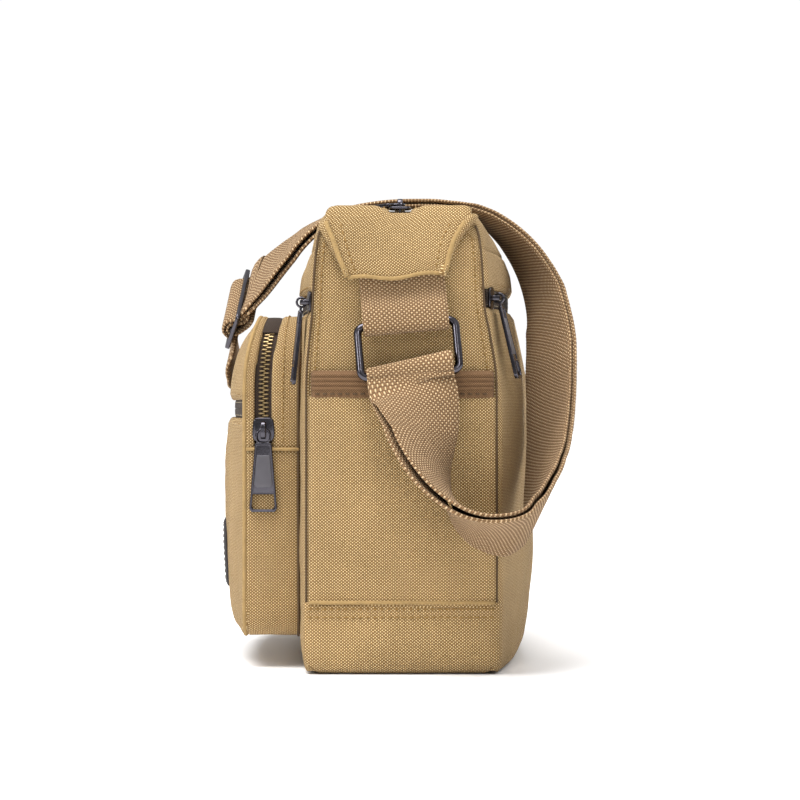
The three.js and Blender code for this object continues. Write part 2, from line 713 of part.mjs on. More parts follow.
// ---------------------------------------------------------------- inside
function openBox(x, y0, y1, z0, z1, wall) {
  const hollow = block(-x + wall, x - wall, y0 + wall, y1 - wall, z0 + wall, z1 + 5);
  return cut(block(-x, x, y0, y1, z0, z1), hollow);
}
add('main_lining', openBox(124, -28, 29, 4.8, 188, 0.8), liningCloth());
add('back_pocket_bag', openBox(96, 30, 41.4, 46, 152, 0.7), liningCloth());
add('front_pocket_bag', openBox(100, -39.6, -29, 46, 150, 0.7), liningCloth());
add('inner_slip_pocket', block(-70, 70, 25.4, 26.6, 60, 140), liningCloth());

// ---------------------------------------------------------------- shoulder strap
// Doubled run, from the near ring round the back and over the top to the slide
// adjuster: [x, y, z, width direction x, y, z, half the spacing of its two layers].
// The width direction points from the edge nearer the +X end to the other edge.
const doubledRoute = [
  [143.2, 5.2, 125, -0.05, 0.98, 0.2, 3.6], [146.6, 6.8, 119.6, -0.34, 0.92, 0.2, 3.1],
  [150.5, 8.6, 110, -0.62, 0.76, 0.2, 2.7], [154.4, 9.8, 100, -0.8, 0.58, 0.17, 2.4],
  [157.4, 13, 89, -0.93, 0.35, 0.06, 2.2], [158.6, 19.6, 78, -0.98, 0.16, -0.1, 2],
  [157.6, 28.6, 69.4, -0.94, 0.08, -0.29, 1.9], [154.6, 38.4, 65, -0.92, 0.07, -0.38, 1.8],
  [148.6, 48.6, 64.6, -0.92, 0.08, -0.38, 1.8], [139, 57, 69.4, -0.96, 0.04, -0.26, 1.7],
  [127.6, 62, 77.4, -0.98, -0.1, -0.14, 1.6], [114.5, 65, 88.2, -0.96, -0.25, -0.08, 1.5],
  [100.5, 67.2, 103, -0.94, -0.34, -0.04, 1.4], [88, 68.4, 120, -0.91, -0.4, 0, 1.4],
  [77, 68.8, 138, -0.9, -0.44, 0, 1.4], [66, 68, 154, -0.92, -0.38, -0.03, 1.4],
  [55.5, 65.8, 168.5, -0.94, -0.32, -0.05, 1.3], [45, 59.2, 184, -0.96, -0.26, -0.05, 1.2],
  [35.5, 48.6, 197.7, -0.98, -0.19, -0.02, 1.2], [28, 36.2, 207, -0.99, -0.1, 0, 1.2],
  [23, 20.6, 212, -1, -0.05, 0.03, 1.2], [20.4, 4.4, 213.4, -1, -0.01, 0.05, 1.2],
  [19.6, -12, 212.2, -1, 0, 0.05, 1.3], [19, -28.6, 208.4, -1, 0, 0.06, 1.4],
  [17, -43, 199.6, -0.98, -0.02, 0.15, 1.6], [12, -53, 190.2, -0.95, 0, 0.3, 1.7],
  [4.6, -62.2, 181.6, -0.88, 0.03, 0.47, 1.7], [-1.6, -69, 175.8, -0.82, 0.06, 0.56, 1.5],
];
// Slide adjuster's middle, and the directions of the strap's run and width there.
const adjusterAt = V(-13.3, -79.4, 164.6);
const adjusterAlong = V(-0.572, -0.312, -0.759).normalize();
const adjusterWidth = V(-0.81, 0.07, 0.58);
// Single run, from the adjuster along the front and round to the far ring.
const singleRoute = [
  [-27.5, -82.6, 148.6, -0.72, 0.05, 0.69], [-40, -84, 145, -0.5, 0.03, 0.86],
  [-57, -84.6, 144.6, -0.32, 0, 0.95], [-76, -85, 144.8, -0.34, 0, 0.94],
  [-93, -85.4, 142.4, -0.46, 0, 0.89],
  [-109, -84.2, 135, -0.6, -0.1, 0.79], [-123, -79.6, 121, -0.72, -0.14, 0.68],
  [-135, -71, 104, -0.82, -0.2, 0.53], [-145, -58, 88, -0.9, -0.2, 0.38],
  [-151.6, -42, 78, -0.96, -0.16, 0.2],
  [-154.6, -26, 74.5, -0.98, 0.05, 0.05], [-155.2, -12, 79, -0.93, 0.3, -0.16],
  [-153.4, -3, 90, -0.76, 0.62, -0.14], [-150, 1.6, 103, -0.45, 0.88, -0.04],
  [-147.4, 3.6, 115, -0.15, 0.99, 0.04], [-146, 4.4, 124, 0, 1, 0.08],
];

const strapHalf = webbingThickness / 2;
const wrapRadius = wire / 2 + 0.5 + strapHalf;
const lean = THREE.MathUtils.degToRad(ringLean);
const tilt = THREE.MathUtils.degToRad(tabTilt);
const barDrop = ringInnerHeight + wire;
const barAt = V(
  ringTop[0] + barDrop * Math.sin(lean),
  ringTop[1] + barDrop * Math.cos(lean) * Math.sin(tilt),
  ringTop[2] - barDrop * Math.cos(lean) * Math.cos(tilt),
);
const barWidth = V(0, Math.cos(tilt), Math.sin(tilt));
// The strap hangs skewed over the bar, its back edge pulled up.
const loopTilt = tilt + THREE.MathUtils.degToRad(8);
const loopWidth = V(0, Math.cos(loopTilt), Math.sin(loopTilt));
const loopRise = 2.6;

// Stations { o, w } of a route on one smooth curve.
function smoothRoute(stations, steps) {
  const place = new THREE.CatmullRomCurve3(stations.map(({ o }) => o));
  const width = new THREE.CatmullRomCurve3(stations.map(({ w }) => w));
  const route = [];
  for (let i = 0; i <= steps; i++) {
    route.push({ o: place.getPoint(i / steps), w: width.getPoint(i / steps).normalize() });
  }
  return route;
}

// Stations moved off a route's middle, towards (+) or away from (-) its inner face.
function layer(route, side) {
  return route.map(([x, y, z, wx, wy, wz, spacing], i) => {
    const before = route[Math.max(i - 1, 0)];
    const after = route[Math.min(i + 1, route.length - 1)];
    const along = V(after[0] - before[0], after[1] - before[1], after[2] - before[2]);
    const w = V(wx, wy, wz).normalize();
    const inner = along.cross(w).normalize();
    return { o: V(x, y, z).addScaledVector(inner, side * spacing), w };
  });
}

// Half turn over a ring's lower bar, from the outside (towards sign) to the bag's side.
// Past the half turn it runs on straight, down both sides of the bar.
function barWrap(bar, sign, from, to, steps) {
  const up = barWidth.clone().cross(V(1, 0, 0)).negate();
  const turn = [];
  for (let i = 0; i <= steps; i++) {
    const angle = from + ((to - from) * i) / steps;
    const round = Math.min(Math.max(angle, 0), Math.PI);
    const o = bar.clone().addScaledVector(V(sign, 0, 0), wrapRadius * Math.cos(round));
    const rise = loopRise + wrapRadius * (Math.sin(round) - Math.abs(angle - round));
    turn.push({ o: o.addScaledVector(up, rise), w: loopWidth.clone() });
  }
  return turn;
}

// Stations in the adjuster's frame, [along, towards the inner face].
const adjusterNormal = adjusterAlong.clone().cross(adjusterWidth).normalize();
const adjusterAcross = adjusterNormal.clone().cross(adjusterAlong).normalize();
function weave(points) {
  return points.map(([t, n]) => ({
    o: adjusterAt.clone().addScaledVector(adjusterAlong, t).addScaledVector(adjusterNormal, n),
    w: adjusterAcross.clone(),
  }));
}

function ribbonFrames(stations) {
  return stations.map(({ o, w }, i) => {
    const before = stations[Math.max(i - 1, 0)].o;
    const after = stations[Math.min(i + 1, stations.length - 1)].o;
    const along = after.clone().sub(before).normalize();
    const a = along.clone().cross(w).normalize();
    return { o, a, b: a.clone().cross(along).normalize() };
  });
}

const farBar = V(-barAt.x, barAt.y, barAt.z);
const singleStations = singleRoute.map(([x, y, z, ...width]) => (
  { o: V(x, y, z), w: V(...width).normalize() }
));
const mainStations = [
  ...barWrap(barAt, 1, -0.35, Math.PI + 0.3, 9),
  ...smoothRoute(layer(doubledRoute, -1), 60),
  ...weave([
    [-13, 2.4], [-8, 2.5], [-6.6, 1.6], [-3.6, -3.5], [-1.9, -4.5], [1.9, -4.5], [3.6, -3.5], [6.6, 1.6],
    [8, 2.7], [11, 3.4], [15, 3.8],
  ]),
  ...smoothRoute(singleStations, 30),
  ...barWrap(farBar, -1, -0.3, Math.PI + 0.35, 8),
  { o: farBar.clone().add(V(2.6, 0.5, -10)), w: barWidth.clone() },
  { o: farBar.clone().add(V(0.6, 1, -20)), w: barWidth.clone() },
  { o: farBar.clone().add(V(-1, 1.4, -30)), w: barWidth.clone() },
];
add('strap_main', ribbon(ribbonFrames(mainStations), webbingWidth, webbingThickness), webbing());

const returnStart = barWrap(barAt, 1, -0.8, -0.9, 1);
const returnStations = [
  ...returnStart,
  ...smoothRoute(layer(doubledRoute, 1), 60),
  ...weave([
    [-13, 4.9], [-8, 4.8], [-5.4, 3.6], [-2.9, -0.5], [-2.5, -1.6], [-1.5, -2.4], [1.5, -2.4], [2.5, -1.4],
    [2.5, 1.4], [1.2, 3], [-1.6, 4.8], [-5, 6.6], [-8, 7.2],
  ]),
];
add('strap_return', ribbon(ribbonFrames(returnStations), webbingWidth, webbingThickness), webbing());

// Slide adjuster: a flat frame with a middle bar, across the strap.
const adjusterHalfWidth = 22.4;
const adjusterHalfLength = 10.4;
const adjusterHalfThickness = 1.1;
const adjusterBar = 1.2;        // half the middle bar's width
const slotEnd = 7.9;
const slotHalfWidth = 19.6;
function adjusterGeometry() {
  const t = adjusterHalfThickness;
  const frame = slab(roundedRect(adjusterHalfWidth, adjusterHalfLength, 3), -t, t);
  const slots = [-slotEnd, adjusterBar].map((y) => (
    block(-slotHalfWidth, slotHalfWidth, y, y + slotEnd - adjusterBar, -2 * t, 2 * t)
  ));
  const basis = new THREE.Matrix4().makeBasis(
    adjusterAcross, adjusterAlong, adjusterAcross.clone().cross(adjusterAlong),
  );
  return cut(frame, ...slots).applyMatrix4(basis.setPosition(adjusterAt));
}
add('strap_adjuster', adjusterGeometry(), gunmetal());

export default bag;
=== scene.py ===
"""Canvas messenger bag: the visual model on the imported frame. Working units are millimetres about
the bag's centre plane, with X along the bag, -Y its front and Z up; piece() puts them in the frame."""

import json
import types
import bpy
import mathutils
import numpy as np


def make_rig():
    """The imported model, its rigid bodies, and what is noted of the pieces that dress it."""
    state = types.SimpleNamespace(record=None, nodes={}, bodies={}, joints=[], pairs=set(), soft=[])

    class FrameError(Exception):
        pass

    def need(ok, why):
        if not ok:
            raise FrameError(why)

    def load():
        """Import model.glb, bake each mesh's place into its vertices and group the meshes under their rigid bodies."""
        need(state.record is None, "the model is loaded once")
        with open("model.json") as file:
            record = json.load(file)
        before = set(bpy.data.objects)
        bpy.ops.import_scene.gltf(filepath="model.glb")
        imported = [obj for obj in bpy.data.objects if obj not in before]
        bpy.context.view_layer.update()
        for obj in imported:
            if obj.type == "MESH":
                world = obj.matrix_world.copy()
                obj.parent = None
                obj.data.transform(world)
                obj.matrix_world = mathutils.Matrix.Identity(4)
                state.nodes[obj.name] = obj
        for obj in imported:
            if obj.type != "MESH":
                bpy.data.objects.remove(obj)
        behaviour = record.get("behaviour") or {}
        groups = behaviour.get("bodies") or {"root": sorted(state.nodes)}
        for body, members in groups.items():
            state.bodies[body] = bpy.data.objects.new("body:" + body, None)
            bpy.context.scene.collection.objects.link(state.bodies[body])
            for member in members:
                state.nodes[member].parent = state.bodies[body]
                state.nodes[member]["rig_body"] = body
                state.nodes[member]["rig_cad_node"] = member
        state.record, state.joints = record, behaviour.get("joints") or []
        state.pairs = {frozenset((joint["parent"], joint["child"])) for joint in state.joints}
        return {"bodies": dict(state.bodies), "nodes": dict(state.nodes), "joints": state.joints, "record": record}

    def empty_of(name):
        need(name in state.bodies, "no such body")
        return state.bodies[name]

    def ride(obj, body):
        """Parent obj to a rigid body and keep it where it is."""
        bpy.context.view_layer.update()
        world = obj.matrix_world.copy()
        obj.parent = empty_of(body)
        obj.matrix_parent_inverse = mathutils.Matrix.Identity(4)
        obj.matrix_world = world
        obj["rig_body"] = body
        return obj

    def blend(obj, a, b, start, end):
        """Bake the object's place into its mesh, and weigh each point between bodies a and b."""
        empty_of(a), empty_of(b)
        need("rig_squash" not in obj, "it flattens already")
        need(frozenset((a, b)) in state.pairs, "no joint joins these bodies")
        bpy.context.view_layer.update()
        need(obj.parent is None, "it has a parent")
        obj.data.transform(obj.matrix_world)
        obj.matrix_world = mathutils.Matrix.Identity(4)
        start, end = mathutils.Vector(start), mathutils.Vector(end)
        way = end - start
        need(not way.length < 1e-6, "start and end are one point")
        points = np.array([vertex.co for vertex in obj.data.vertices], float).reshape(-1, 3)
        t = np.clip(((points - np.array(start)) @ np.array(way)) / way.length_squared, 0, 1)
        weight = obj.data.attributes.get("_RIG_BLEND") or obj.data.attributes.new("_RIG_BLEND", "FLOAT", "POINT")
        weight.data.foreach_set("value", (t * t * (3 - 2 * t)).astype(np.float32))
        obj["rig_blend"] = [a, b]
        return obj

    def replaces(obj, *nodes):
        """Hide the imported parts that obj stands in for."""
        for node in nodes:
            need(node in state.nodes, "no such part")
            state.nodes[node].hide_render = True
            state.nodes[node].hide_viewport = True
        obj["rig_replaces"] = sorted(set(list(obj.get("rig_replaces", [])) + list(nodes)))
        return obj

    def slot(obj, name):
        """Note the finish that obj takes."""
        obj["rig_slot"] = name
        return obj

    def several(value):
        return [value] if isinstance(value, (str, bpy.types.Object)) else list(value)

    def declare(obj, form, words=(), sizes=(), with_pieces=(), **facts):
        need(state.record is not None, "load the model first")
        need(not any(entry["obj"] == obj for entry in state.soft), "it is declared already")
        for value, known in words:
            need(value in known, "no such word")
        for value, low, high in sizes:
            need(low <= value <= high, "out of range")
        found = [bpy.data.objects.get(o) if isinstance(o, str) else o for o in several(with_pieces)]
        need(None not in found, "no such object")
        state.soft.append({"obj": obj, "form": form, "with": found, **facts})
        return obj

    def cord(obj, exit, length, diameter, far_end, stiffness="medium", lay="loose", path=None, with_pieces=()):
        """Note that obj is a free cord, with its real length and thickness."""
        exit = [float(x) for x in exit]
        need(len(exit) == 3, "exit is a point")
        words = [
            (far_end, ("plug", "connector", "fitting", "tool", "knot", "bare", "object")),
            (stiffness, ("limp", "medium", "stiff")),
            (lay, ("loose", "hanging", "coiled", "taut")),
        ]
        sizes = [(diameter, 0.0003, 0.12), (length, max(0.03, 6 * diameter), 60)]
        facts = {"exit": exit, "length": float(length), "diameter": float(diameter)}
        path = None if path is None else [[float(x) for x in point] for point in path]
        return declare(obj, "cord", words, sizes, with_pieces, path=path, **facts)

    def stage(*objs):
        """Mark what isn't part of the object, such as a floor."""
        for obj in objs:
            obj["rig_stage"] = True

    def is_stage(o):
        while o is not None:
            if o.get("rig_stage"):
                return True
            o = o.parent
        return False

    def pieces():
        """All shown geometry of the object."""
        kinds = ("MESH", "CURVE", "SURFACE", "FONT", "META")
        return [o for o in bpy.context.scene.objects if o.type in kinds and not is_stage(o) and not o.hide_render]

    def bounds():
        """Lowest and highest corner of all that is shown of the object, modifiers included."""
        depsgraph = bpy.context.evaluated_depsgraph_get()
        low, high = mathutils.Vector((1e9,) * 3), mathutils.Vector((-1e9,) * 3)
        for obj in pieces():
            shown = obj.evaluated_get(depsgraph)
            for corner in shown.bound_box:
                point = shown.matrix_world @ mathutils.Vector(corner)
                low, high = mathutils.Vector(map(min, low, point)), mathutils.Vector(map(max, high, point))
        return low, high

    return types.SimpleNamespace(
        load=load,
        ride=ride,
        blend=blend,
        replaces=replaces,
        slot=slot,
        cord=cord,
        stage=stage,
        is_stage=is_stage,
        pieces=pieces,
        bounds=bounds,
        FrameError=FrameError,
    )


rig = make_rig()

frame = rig.load()
cad_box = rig.bounds()

import bisect
import json
import math

import bmesh
import bpy
from mathutils import Matrix, Vector, noise

MM = 0.001
SHIFT_Y = 10.45          # from the frame's origin to the bag's centre plane
HALF_LENGTH = 130
SHOULDER_Z = 184         # where the bag's upper corners begin to round
WEBBING_WIDTH = 38
WEBBING_THICKNESS = 1.8
POCKET_HALF = 105        # half length of the front pocket
POCKET_TOP = 158
POCKET_CORNER = 24
POCKET_FOOT_CORNER = 14
POCKET_ZIP_Y = 60.9
POCKET_SEAM_Y = 70       # where the pocket's gusset meets its face
WIRE = 3.6               # diameter of the rings' wire
RING_INSIDE = (39.2, 19.4)
RING_TOP = (136.6, 2.6, 153.4)
RING_LEAN, TAB_TILT = math.radians(14), math.radians(5)
ENDS = (("right", 1), ("left", -1))
scene = bpy.context.scene


def V(x, y, z):
    return Vector((x, y, z))


# ---------------- camera
camera_data = bpy.data.cameras.new("camera")
camera_data.lens = 123.2
camera_data.sensor_width = 36
camera = bpy.data.objects.new("camera", camera_data)
camera.location = (1.326, SHIFT_Y * MM, 0.12)
camera.rotation_euler = (math.pi / 2, 0, math.pi / 2)
scene.collection.objects.link(camera)
scene.camera = camera


# ---------------- materials
class Nodes:
    """A material's node tree, with short ways to add and join nodes."""

    def __init__(self, name):
        self.material = bpy.data.materials.new(name)
        self.material.use_nodes = True
        self.tree = self.material.node_tree
        self.shader = self.tree.nodes["Principled BSDF"]

    def feed(self, socket, value):
        if isinstance(value, bpy.types.NodeSocket):
            self.tree.links.new(value, socket)
        else:
            socket.default_value = (*value, 1) if socket.type == "RGBA" else value

    def add(self, kind, inputs, out=0):
        """A node with these inputs, by name or number, and its output socket."""
        node = self.tree.nodes.new("ShaderNode" + kind)
        for key, value in inputs.items():
            self.feed(node.inputs[key], value)
        return node.outputs[out]

    def math(self, operation, a, b=0.0):
        socket = self.add("Math", {0: a, 1: b})
        socket.node.operation = operation
        return socket

    def scaled(self, value, low, high):
        return self.math("ADD", self.math("MULTIPLY", value, high - low), low)

    def mix(self, factor, a, b, blend="MIX"):
        node = self.tree.nodes.new("ShaderNodeMix")
        node.data_type = "RGBA"
        node.blend_type = blend
        for index, value in ((0, factor), (6, a), (7, b)):
            self.feed(node.inputs[index], value)
        return node.outputs[2]

    def noise(self, scale, detail=2.0, vector=None):
        return self.add("TexNoise", {"Scale": scale, "Detail": detail, "Vector": vector or self.place()})

    def place(self):
        return self.add("TexCoord", {}, "Object")

    def finish(self, color, height, distance, **sockets):
        for key, value in sockets.items():
            self.feed(self.shader.inputs[key.replace("_", " ")], value)
        self.feed(self.shader.inputs["Base Color"], color)
        bump = self.add("Bump", {"Height": height, "Distance": distance})
        self.feed(self.shader.inputs["Normal"], bump)
        return self.material


def rgb(screen):
    """Linear colour from a screen colour such as b29262."""
    channels = [int(screen[i:i + 2], 16) / 255 for i in (0, 2, 4)]
    return tuple(c / 12.92 if c <= 0.04045 else ((c + 0.055) / 1.055) ** 2.4 for c in channels)


def woven(name, dark, middle, light, pitch, depth, mottle=0.16):
    """Plain weave on the 'weave' coordinates, which are in millimetres."""
    n = Nodes(name)
    source = n.tree.nodes.new("ShaderNodeUVMap")
    source.uv_map = "weave"
    drift = n.noise(0.05, 2.0, source.outputs[0])
    threads = n.add("Mapping", {"Vector": source.outputs[0], "Scale": (1 / pitch[0], 1 / pitch[1], 1)})
    split = n.add("SeparateXYZ", {0: threads}).node
    u = n.math("ADD", split.outputs[0], n.math("MULTIPLY", drift, 0.9))
    v = n.math("ADD", split.outputs[1], n.math("MULTIPLY", drift, 1.3))
    over = n.math("PINGPONG", n.math("ADD", n.math("FLOOR", u), n.math("FLOOR", v)), 1.0)
    across = n.math("ABSOLUTE", n.math("SINE", n.math("MULTIPLY", u, math.pi)))
    along = n.math("ABSOLUTE", n.math("SINE", n.math("MULTIPLY", v, math.pi)))
    crown = n.math("MULTIPLY", n.math("POWER", along, 0.6), n.math("POWER", across, 0.6))
    valley = n.math("MULTIPLY", crown, 0.55)
    height = n.add("Mix", {0: over, 2: valley, 3: crown})
    # The colour follows the weave's relief: painted shade darkens the hollows between threads and a painted highlight
    # lightens the crowns of the over-threads.
    color = n.mix(height, rgb(dark), rgb(middle))
    color = n.mix(n.math("MULTIPLY", over, n.math("POWER", crown, 1.6)), color, rgb(light))
    cloudy = n.scaled(n.noise(24, 4.0), 1 - 2 * mottle, 1 + mottle)
    shade = n.math("MULTIPLY", cloudy, n.scaled(n.noise(1300, 2.0), 0.75, 1.2))
    grey = n.add("CombineColor", {0: shade, 1: shade, 2: shade})
    color = n.mix(1.0, color, grey, "MULTIPLY")
    fuzz = n.math("ADD", height, n.math("MULTIPLY", n.noise(2400, 2.0), 0.35))
    return n.finish(color, fuzz, depth, Roughness=0.92, Sheen_Weight=0.03, Sheen_Roughness=0.5,
                    Specular_IOR_Level=0.15)


def metal(name, color, roughness, wear=0.12):
    n = Nodes(name)
    patchy = n.noise(240, 3.0)
    brighter = tuple(min(1.0, c * 1.8) for c in rgb(color))
    worn = n.mix(n.math("MULTIPLY", patchy, 0.5), rgb(color), brighter)
    rough = n.scaled(patchy, roughness - wear / 2, roughness + wear)
    return n.finish(worn, n.noise(900, 2.0), 0.00002, Metallic=1.0, Roughness=rough)


def grained(name, color, roughness, scale, depth):
    """Uneven matt surface for thread, leather and board."""
    n = Nodes(name)
    cells = n.add("TexVoronoi", {"Scale": scale, "Vector": n.place()})
    tone = n.mix(n.noise(scale / 6, 3.0), rgb(color), tuple(c * 0.7 for c in rgb(color)))
    return n.finish(tone, cells, depth, Roughness=roughness, Specular_IOR_Level=0.35)


# Each weave's dark colour is painted shade for its hollows and its light colour a painted highlight for its thread
# crowns; the middle colour is the yarn's own.
CANVAS = woven("canvas", "654929", "a8844d", "f2d8a6", (0.78, 0.66), 0.0004)
WEBBING = woven("webbing", "5d452e", "987652", "d2b68f", (1.1, 0.9), 0.0006, 0.1)
BAND = woven("grosgrain", "543d2b", "7b5c40", "8f7150", (0.5, 0.5), 0.0001)
TAPE = woven("zip_tape", "211915", "3b3029", "50443a", (0.5, 0.5), 0.0001, 0.1)
FOLD = grained("canvas_fold", "9d8153", 0.9, 1500, 0.0003)
THREAD = grained("thread", "8b6c3c", 0.8, 1500, 0.0001)
PALE_THREAD = grained("pale_thread", "a89a80", 0.8, 1500, 0.0001)
# Dark thread for the stitches on the band and the patch, also used for the dark tubes of painted shade in the seams
# and creases.
DARK_THREAD_AND_SHADE = grained("dark_thread_and_painted_shade", "4d3a22", 0.8, 1500, 0.0001)
LEATHER = grained("leather", "241f20", 0.5, 700, 0.0002)
BOARD = grained("board", "5b5348", 0.8, 500, 0.0001)
LINING = grained("lining_cloth", "8d8470", 0.85, 1400, 0.0001)
COIL = grained("zip_coil", "2c2420", 0.5, 900, 0.0001)
GUNMETAL = metal("gunmetal", "434146", 0.16)
BRASS = metal("antique_brass", "867353", 0.42)
STEEL = metal("worn_steel", "545256", 0.42, 0.25)


# ---------------- mesh helpers
def piece(name, points, faces, material, body="bag", weave=None, slot="canvas", replaces=(),
          sharp=None, blend=None):
    """One object from points in millimetres. weave gives each point's place in the cloth."""
    mesh = bpy.data.meshes.new(name)
    mesh.from_pydata([(p[0] * MM, (p[1] + SHIFT_Y) * MM, p[2] * MM) for p in points], [], faces)
    layer = mesh.uv_layers.new(name="weave")
    for loop in mesh.loops:
        layer.data[loop.index].uv = weave[loop.vertex_index] if weave else (0, 0)
    solid = bmesh.new()
    solid.from_mesh(mesh)
    bmesh.ops.recalc_face_normals(solid, faces=solid.faces)
    solid.to_mesh(mesh)
    solid.free()
    mesh.polygons.foreach_set("use_smooth", [True] * len(mesh.polygons))
    if sharp:
        mesh.set_sharp_from_angle(angle=math.radians(sharp))
    mesh.materials.append(material)
    mesh.update()
    made = bpy.data.objects.new(name, mesh)
    scene.collection.objects.link(made)
    if blend:
        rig.blend(made, *blend)
    else:
        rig.ride(made, body)
    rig.slot(made, slot)
    if replaces:
        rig.replaces(made, *replaces)
    return made


def gather(name, parts, material, **facts):
    """Several closed bodies, each (points, faces, weave), in one object."""
    points, faces, weave = [], [], []
    for part in parts:
        faces += [tuple(k + len(points) for k in face) for face in part[1]]
        points += part[0]
        weave += part[2] if len(part) > 2 else [(0, 0)] * len(part[0])
    return piece(name, points, faces, material, weave=weave, **facts)


def catmull(points, t):
    """Centripetal Catmull-Rom curve through the points, with t from 0 to 1 in equal shares per span."""
    place = min(max(t, 0), 1) * (len(points) - 1)
    i = min(int(place), len(points) - 2)
    w = place - i
    p1, p2 = points[i], points[i + 1]
    p0 = points[i - 1] if i else p1 * 2 - p2
    p3 = points[i + 2] if i + 2 < len(points) else p2 * 2 - p1
    d0, d1, d2 = (max((b - a).length ** 0.5, 1e-4) for a, b in ((p0, p1), (p1, p2), (p2, p3)))
    t1 = ((p1 - p0) / d0 - (p2 - p0) / (d0 + d1) + (p2 - p1) / d1) * d1
    t2 = ((p2 - p1) / d1 - (p3 - p1) / (d1 + d2) + (p3 - p2) / d2) * d1
    return p1 + t1 * w + ((p2 - p1) * 3 - t1 * 2 - t2) * w ** 2 + ((p1 - p2) * 2 + t1 + t2) * w ** 3


def row_at(rows, t):
    """A row of numbers between the rows of a table, on a smooth curve."""
    return catmull([V(*row) for row in rows], t)


def lengths_along(line):
    lengths = [0.0]
    for a, b in zip(line, line[1:]):
        lengths.append(lengths[-1] + (b - a).length)
    return lengths


def span_at(lengths, target):
    """The span of a line that holds this length along it, and the share of that span."""
    k = min(max(bisect.bisect_left(lengths, target) - 1, 0), len(lengths) - 2)
    return k, (target - lengths[k]) / max(lengths[k + 1] - lengths[k], 1e-9)


def resample(line, step):
    """Points at equal steps along a line."""
    lengths = lengths_along(line)
    count = max(1, round(lengths[-1] / step))
    result = []
    for i in range(count + 1):
        k, share = span_at(lengths, lengths[-1] * i / count)
        result.append(line[k].lerp(line[k + 1], share))
    return result


def uneven(point, size):
    """Gentle unevenness of cloth, the same on each run."""
    return size * (noise.noise(point * 0.026) * 0.8 + noise.noise(point * 0.085 + V(7, 3, 5)) * 0.3)


def cloth(name, surface, steps, thickness, inside, material=CANVAS, size=0.6, edge=3.0, drop=1.0,
          sinks=(1, 1, 1, 1), relief=None, **facts):
    """A sheet on surface(s, t), uneven in the middle, whose edges sink into their seams.
    steps counts cells along s and t, and sinks says which edges sink: t = 0, t = 1, s = 0, s = 1."""
    cols, rows = steps
    base = [[surface(j / cols, i / rows) for j in range(cols + 1)] for i in range(rows + 1)]
    across = [lengths_along(line) for line in base]
    across = [[x - line[cols // 2] for x in line] for line in across]
    upward = lengths_along([line[cols // 2] for line in base])
    outer, inner, normals, weave = [], [], [], []
    for i in range(rows + 1):
        for j in range(cols + 1):
            p = base[i][j]
            down = base[min(i + 1, rows)][j] - base[max(i - 1, 0)][j]
            side = base[i][min(j + 1, cols)] - base[i][max(j - 1, 0)]
            n = down.cross(side).normalized()
            if n.dot(inside - p) > 0:
                n.negate()
            gaps = (upward[i], upward[-1] - upward[i],
                    across[i][j] - across[i][0], across[i][-1] - across[i][j])
            reach = min([gap for gap, sink in zip(gaps, sinks) if sink] + [99])
            share = 1 - min(1.0, reach / edge)
            lift = uneven(p, size) * min(1.0, reach / 14) - drop * (1 - math.sqrt(1 - share ** 2))
            if relief:
                lift += relief(p, across[i][j], upward[i])
            outer.append(p + n * lift)
            inner.append(p + n * (lift - thickness))
            normals.append(n)
            weave.append((across[i][j], upward[i]))
    count = len(outer)
    faces = []

    def at(i, j):
        return i * (cols + 1) + j
    for i in range(rows):
        for j in range(cols):
            quad = (at(i, j), at(i + 1, j), at(i + 1, j + 1), at(i, j + 1))
            faces += [quad, tuple(k + count for k in reversed(quad))]
    rim = ([at(0, j) for j in range(cols)] + [at(i, cols) for i in range(rows)]
           + [at(rows, j) for j in range(cols, 0, -1)] + [at(i, 0) for i in range(rows, 0, -1)])
    centre = outer[at(rows // 2, cols // 2)]
    bulge, rim_weave = [], []
    for k, a in enumerate(rim):
        b = rim[(k + 1) % len(rim)]
        away = (outer[b] - outer[rim[k - 1]]).cross(normals[a]).normalized()
        if away.dot(outer[a] - centre) < 0:
            away.negate()
        bulge.append((outer[a] + inner[a]) / 2 + away * thickness * 0.35)
        run = Vector(weave[b]) - Vector(weave[rim[k - 1]])
        rim_weave.append(Vector(weave[a]) + Vector((run.y, -run.x)).normalized() * thickness * 0.6)
        m, n = 2 * count + k, 2 * count + (k + 1) % len(rim)
        faces += [(a, b, n, m), (m, n, b + count, a + count)]
    return piece(name, outer + inner + bulge, faces, material, weave=weave * 2 + rim_weave, **facts)


def panel_of(node, surface, steps, thickness, inside, **facts):
    """The cloth that takes the place of one CAD node."""
    return cloth(f"{node}_cloth", surface, steps, thickness, inside, replaces=[node], **facts)


def sweep(stations, profile, closed=False):
    """Points, faces and weave of a profile of (a, b) pairs carried along (origin, a, b) stations.
    A station may have a fourth number, which scales b."""
    count, last = len(profile), len(stations)
    points, weave, faces = [], [], []
    length = 0.0
    for i, station in enumerate(stations):
        o, a, b = station[:3]
        wide = station[3] if len(station) > 3 else 1
        length += (o - stations[i - 1][0]).length if i else 0
        points += [o + a * pa + b * pb * wide for pa, pb in profile]
        weave += [(pb + 0.5 * pa, length) for pa, pb in profile]
    for i in range(last if closed else last - 1):
        for j in range(count):
            k, n = (j + 1) % count, (i + 1) % last
            faces.append((i * count + j, i * count + k, n * count + k, n * count + j))
    if not closed:
        faces += [tuple(range(count - 1, -1, -1)), tuple((last - 1) * count + j for j in range(count))]
    return points, faces, weave


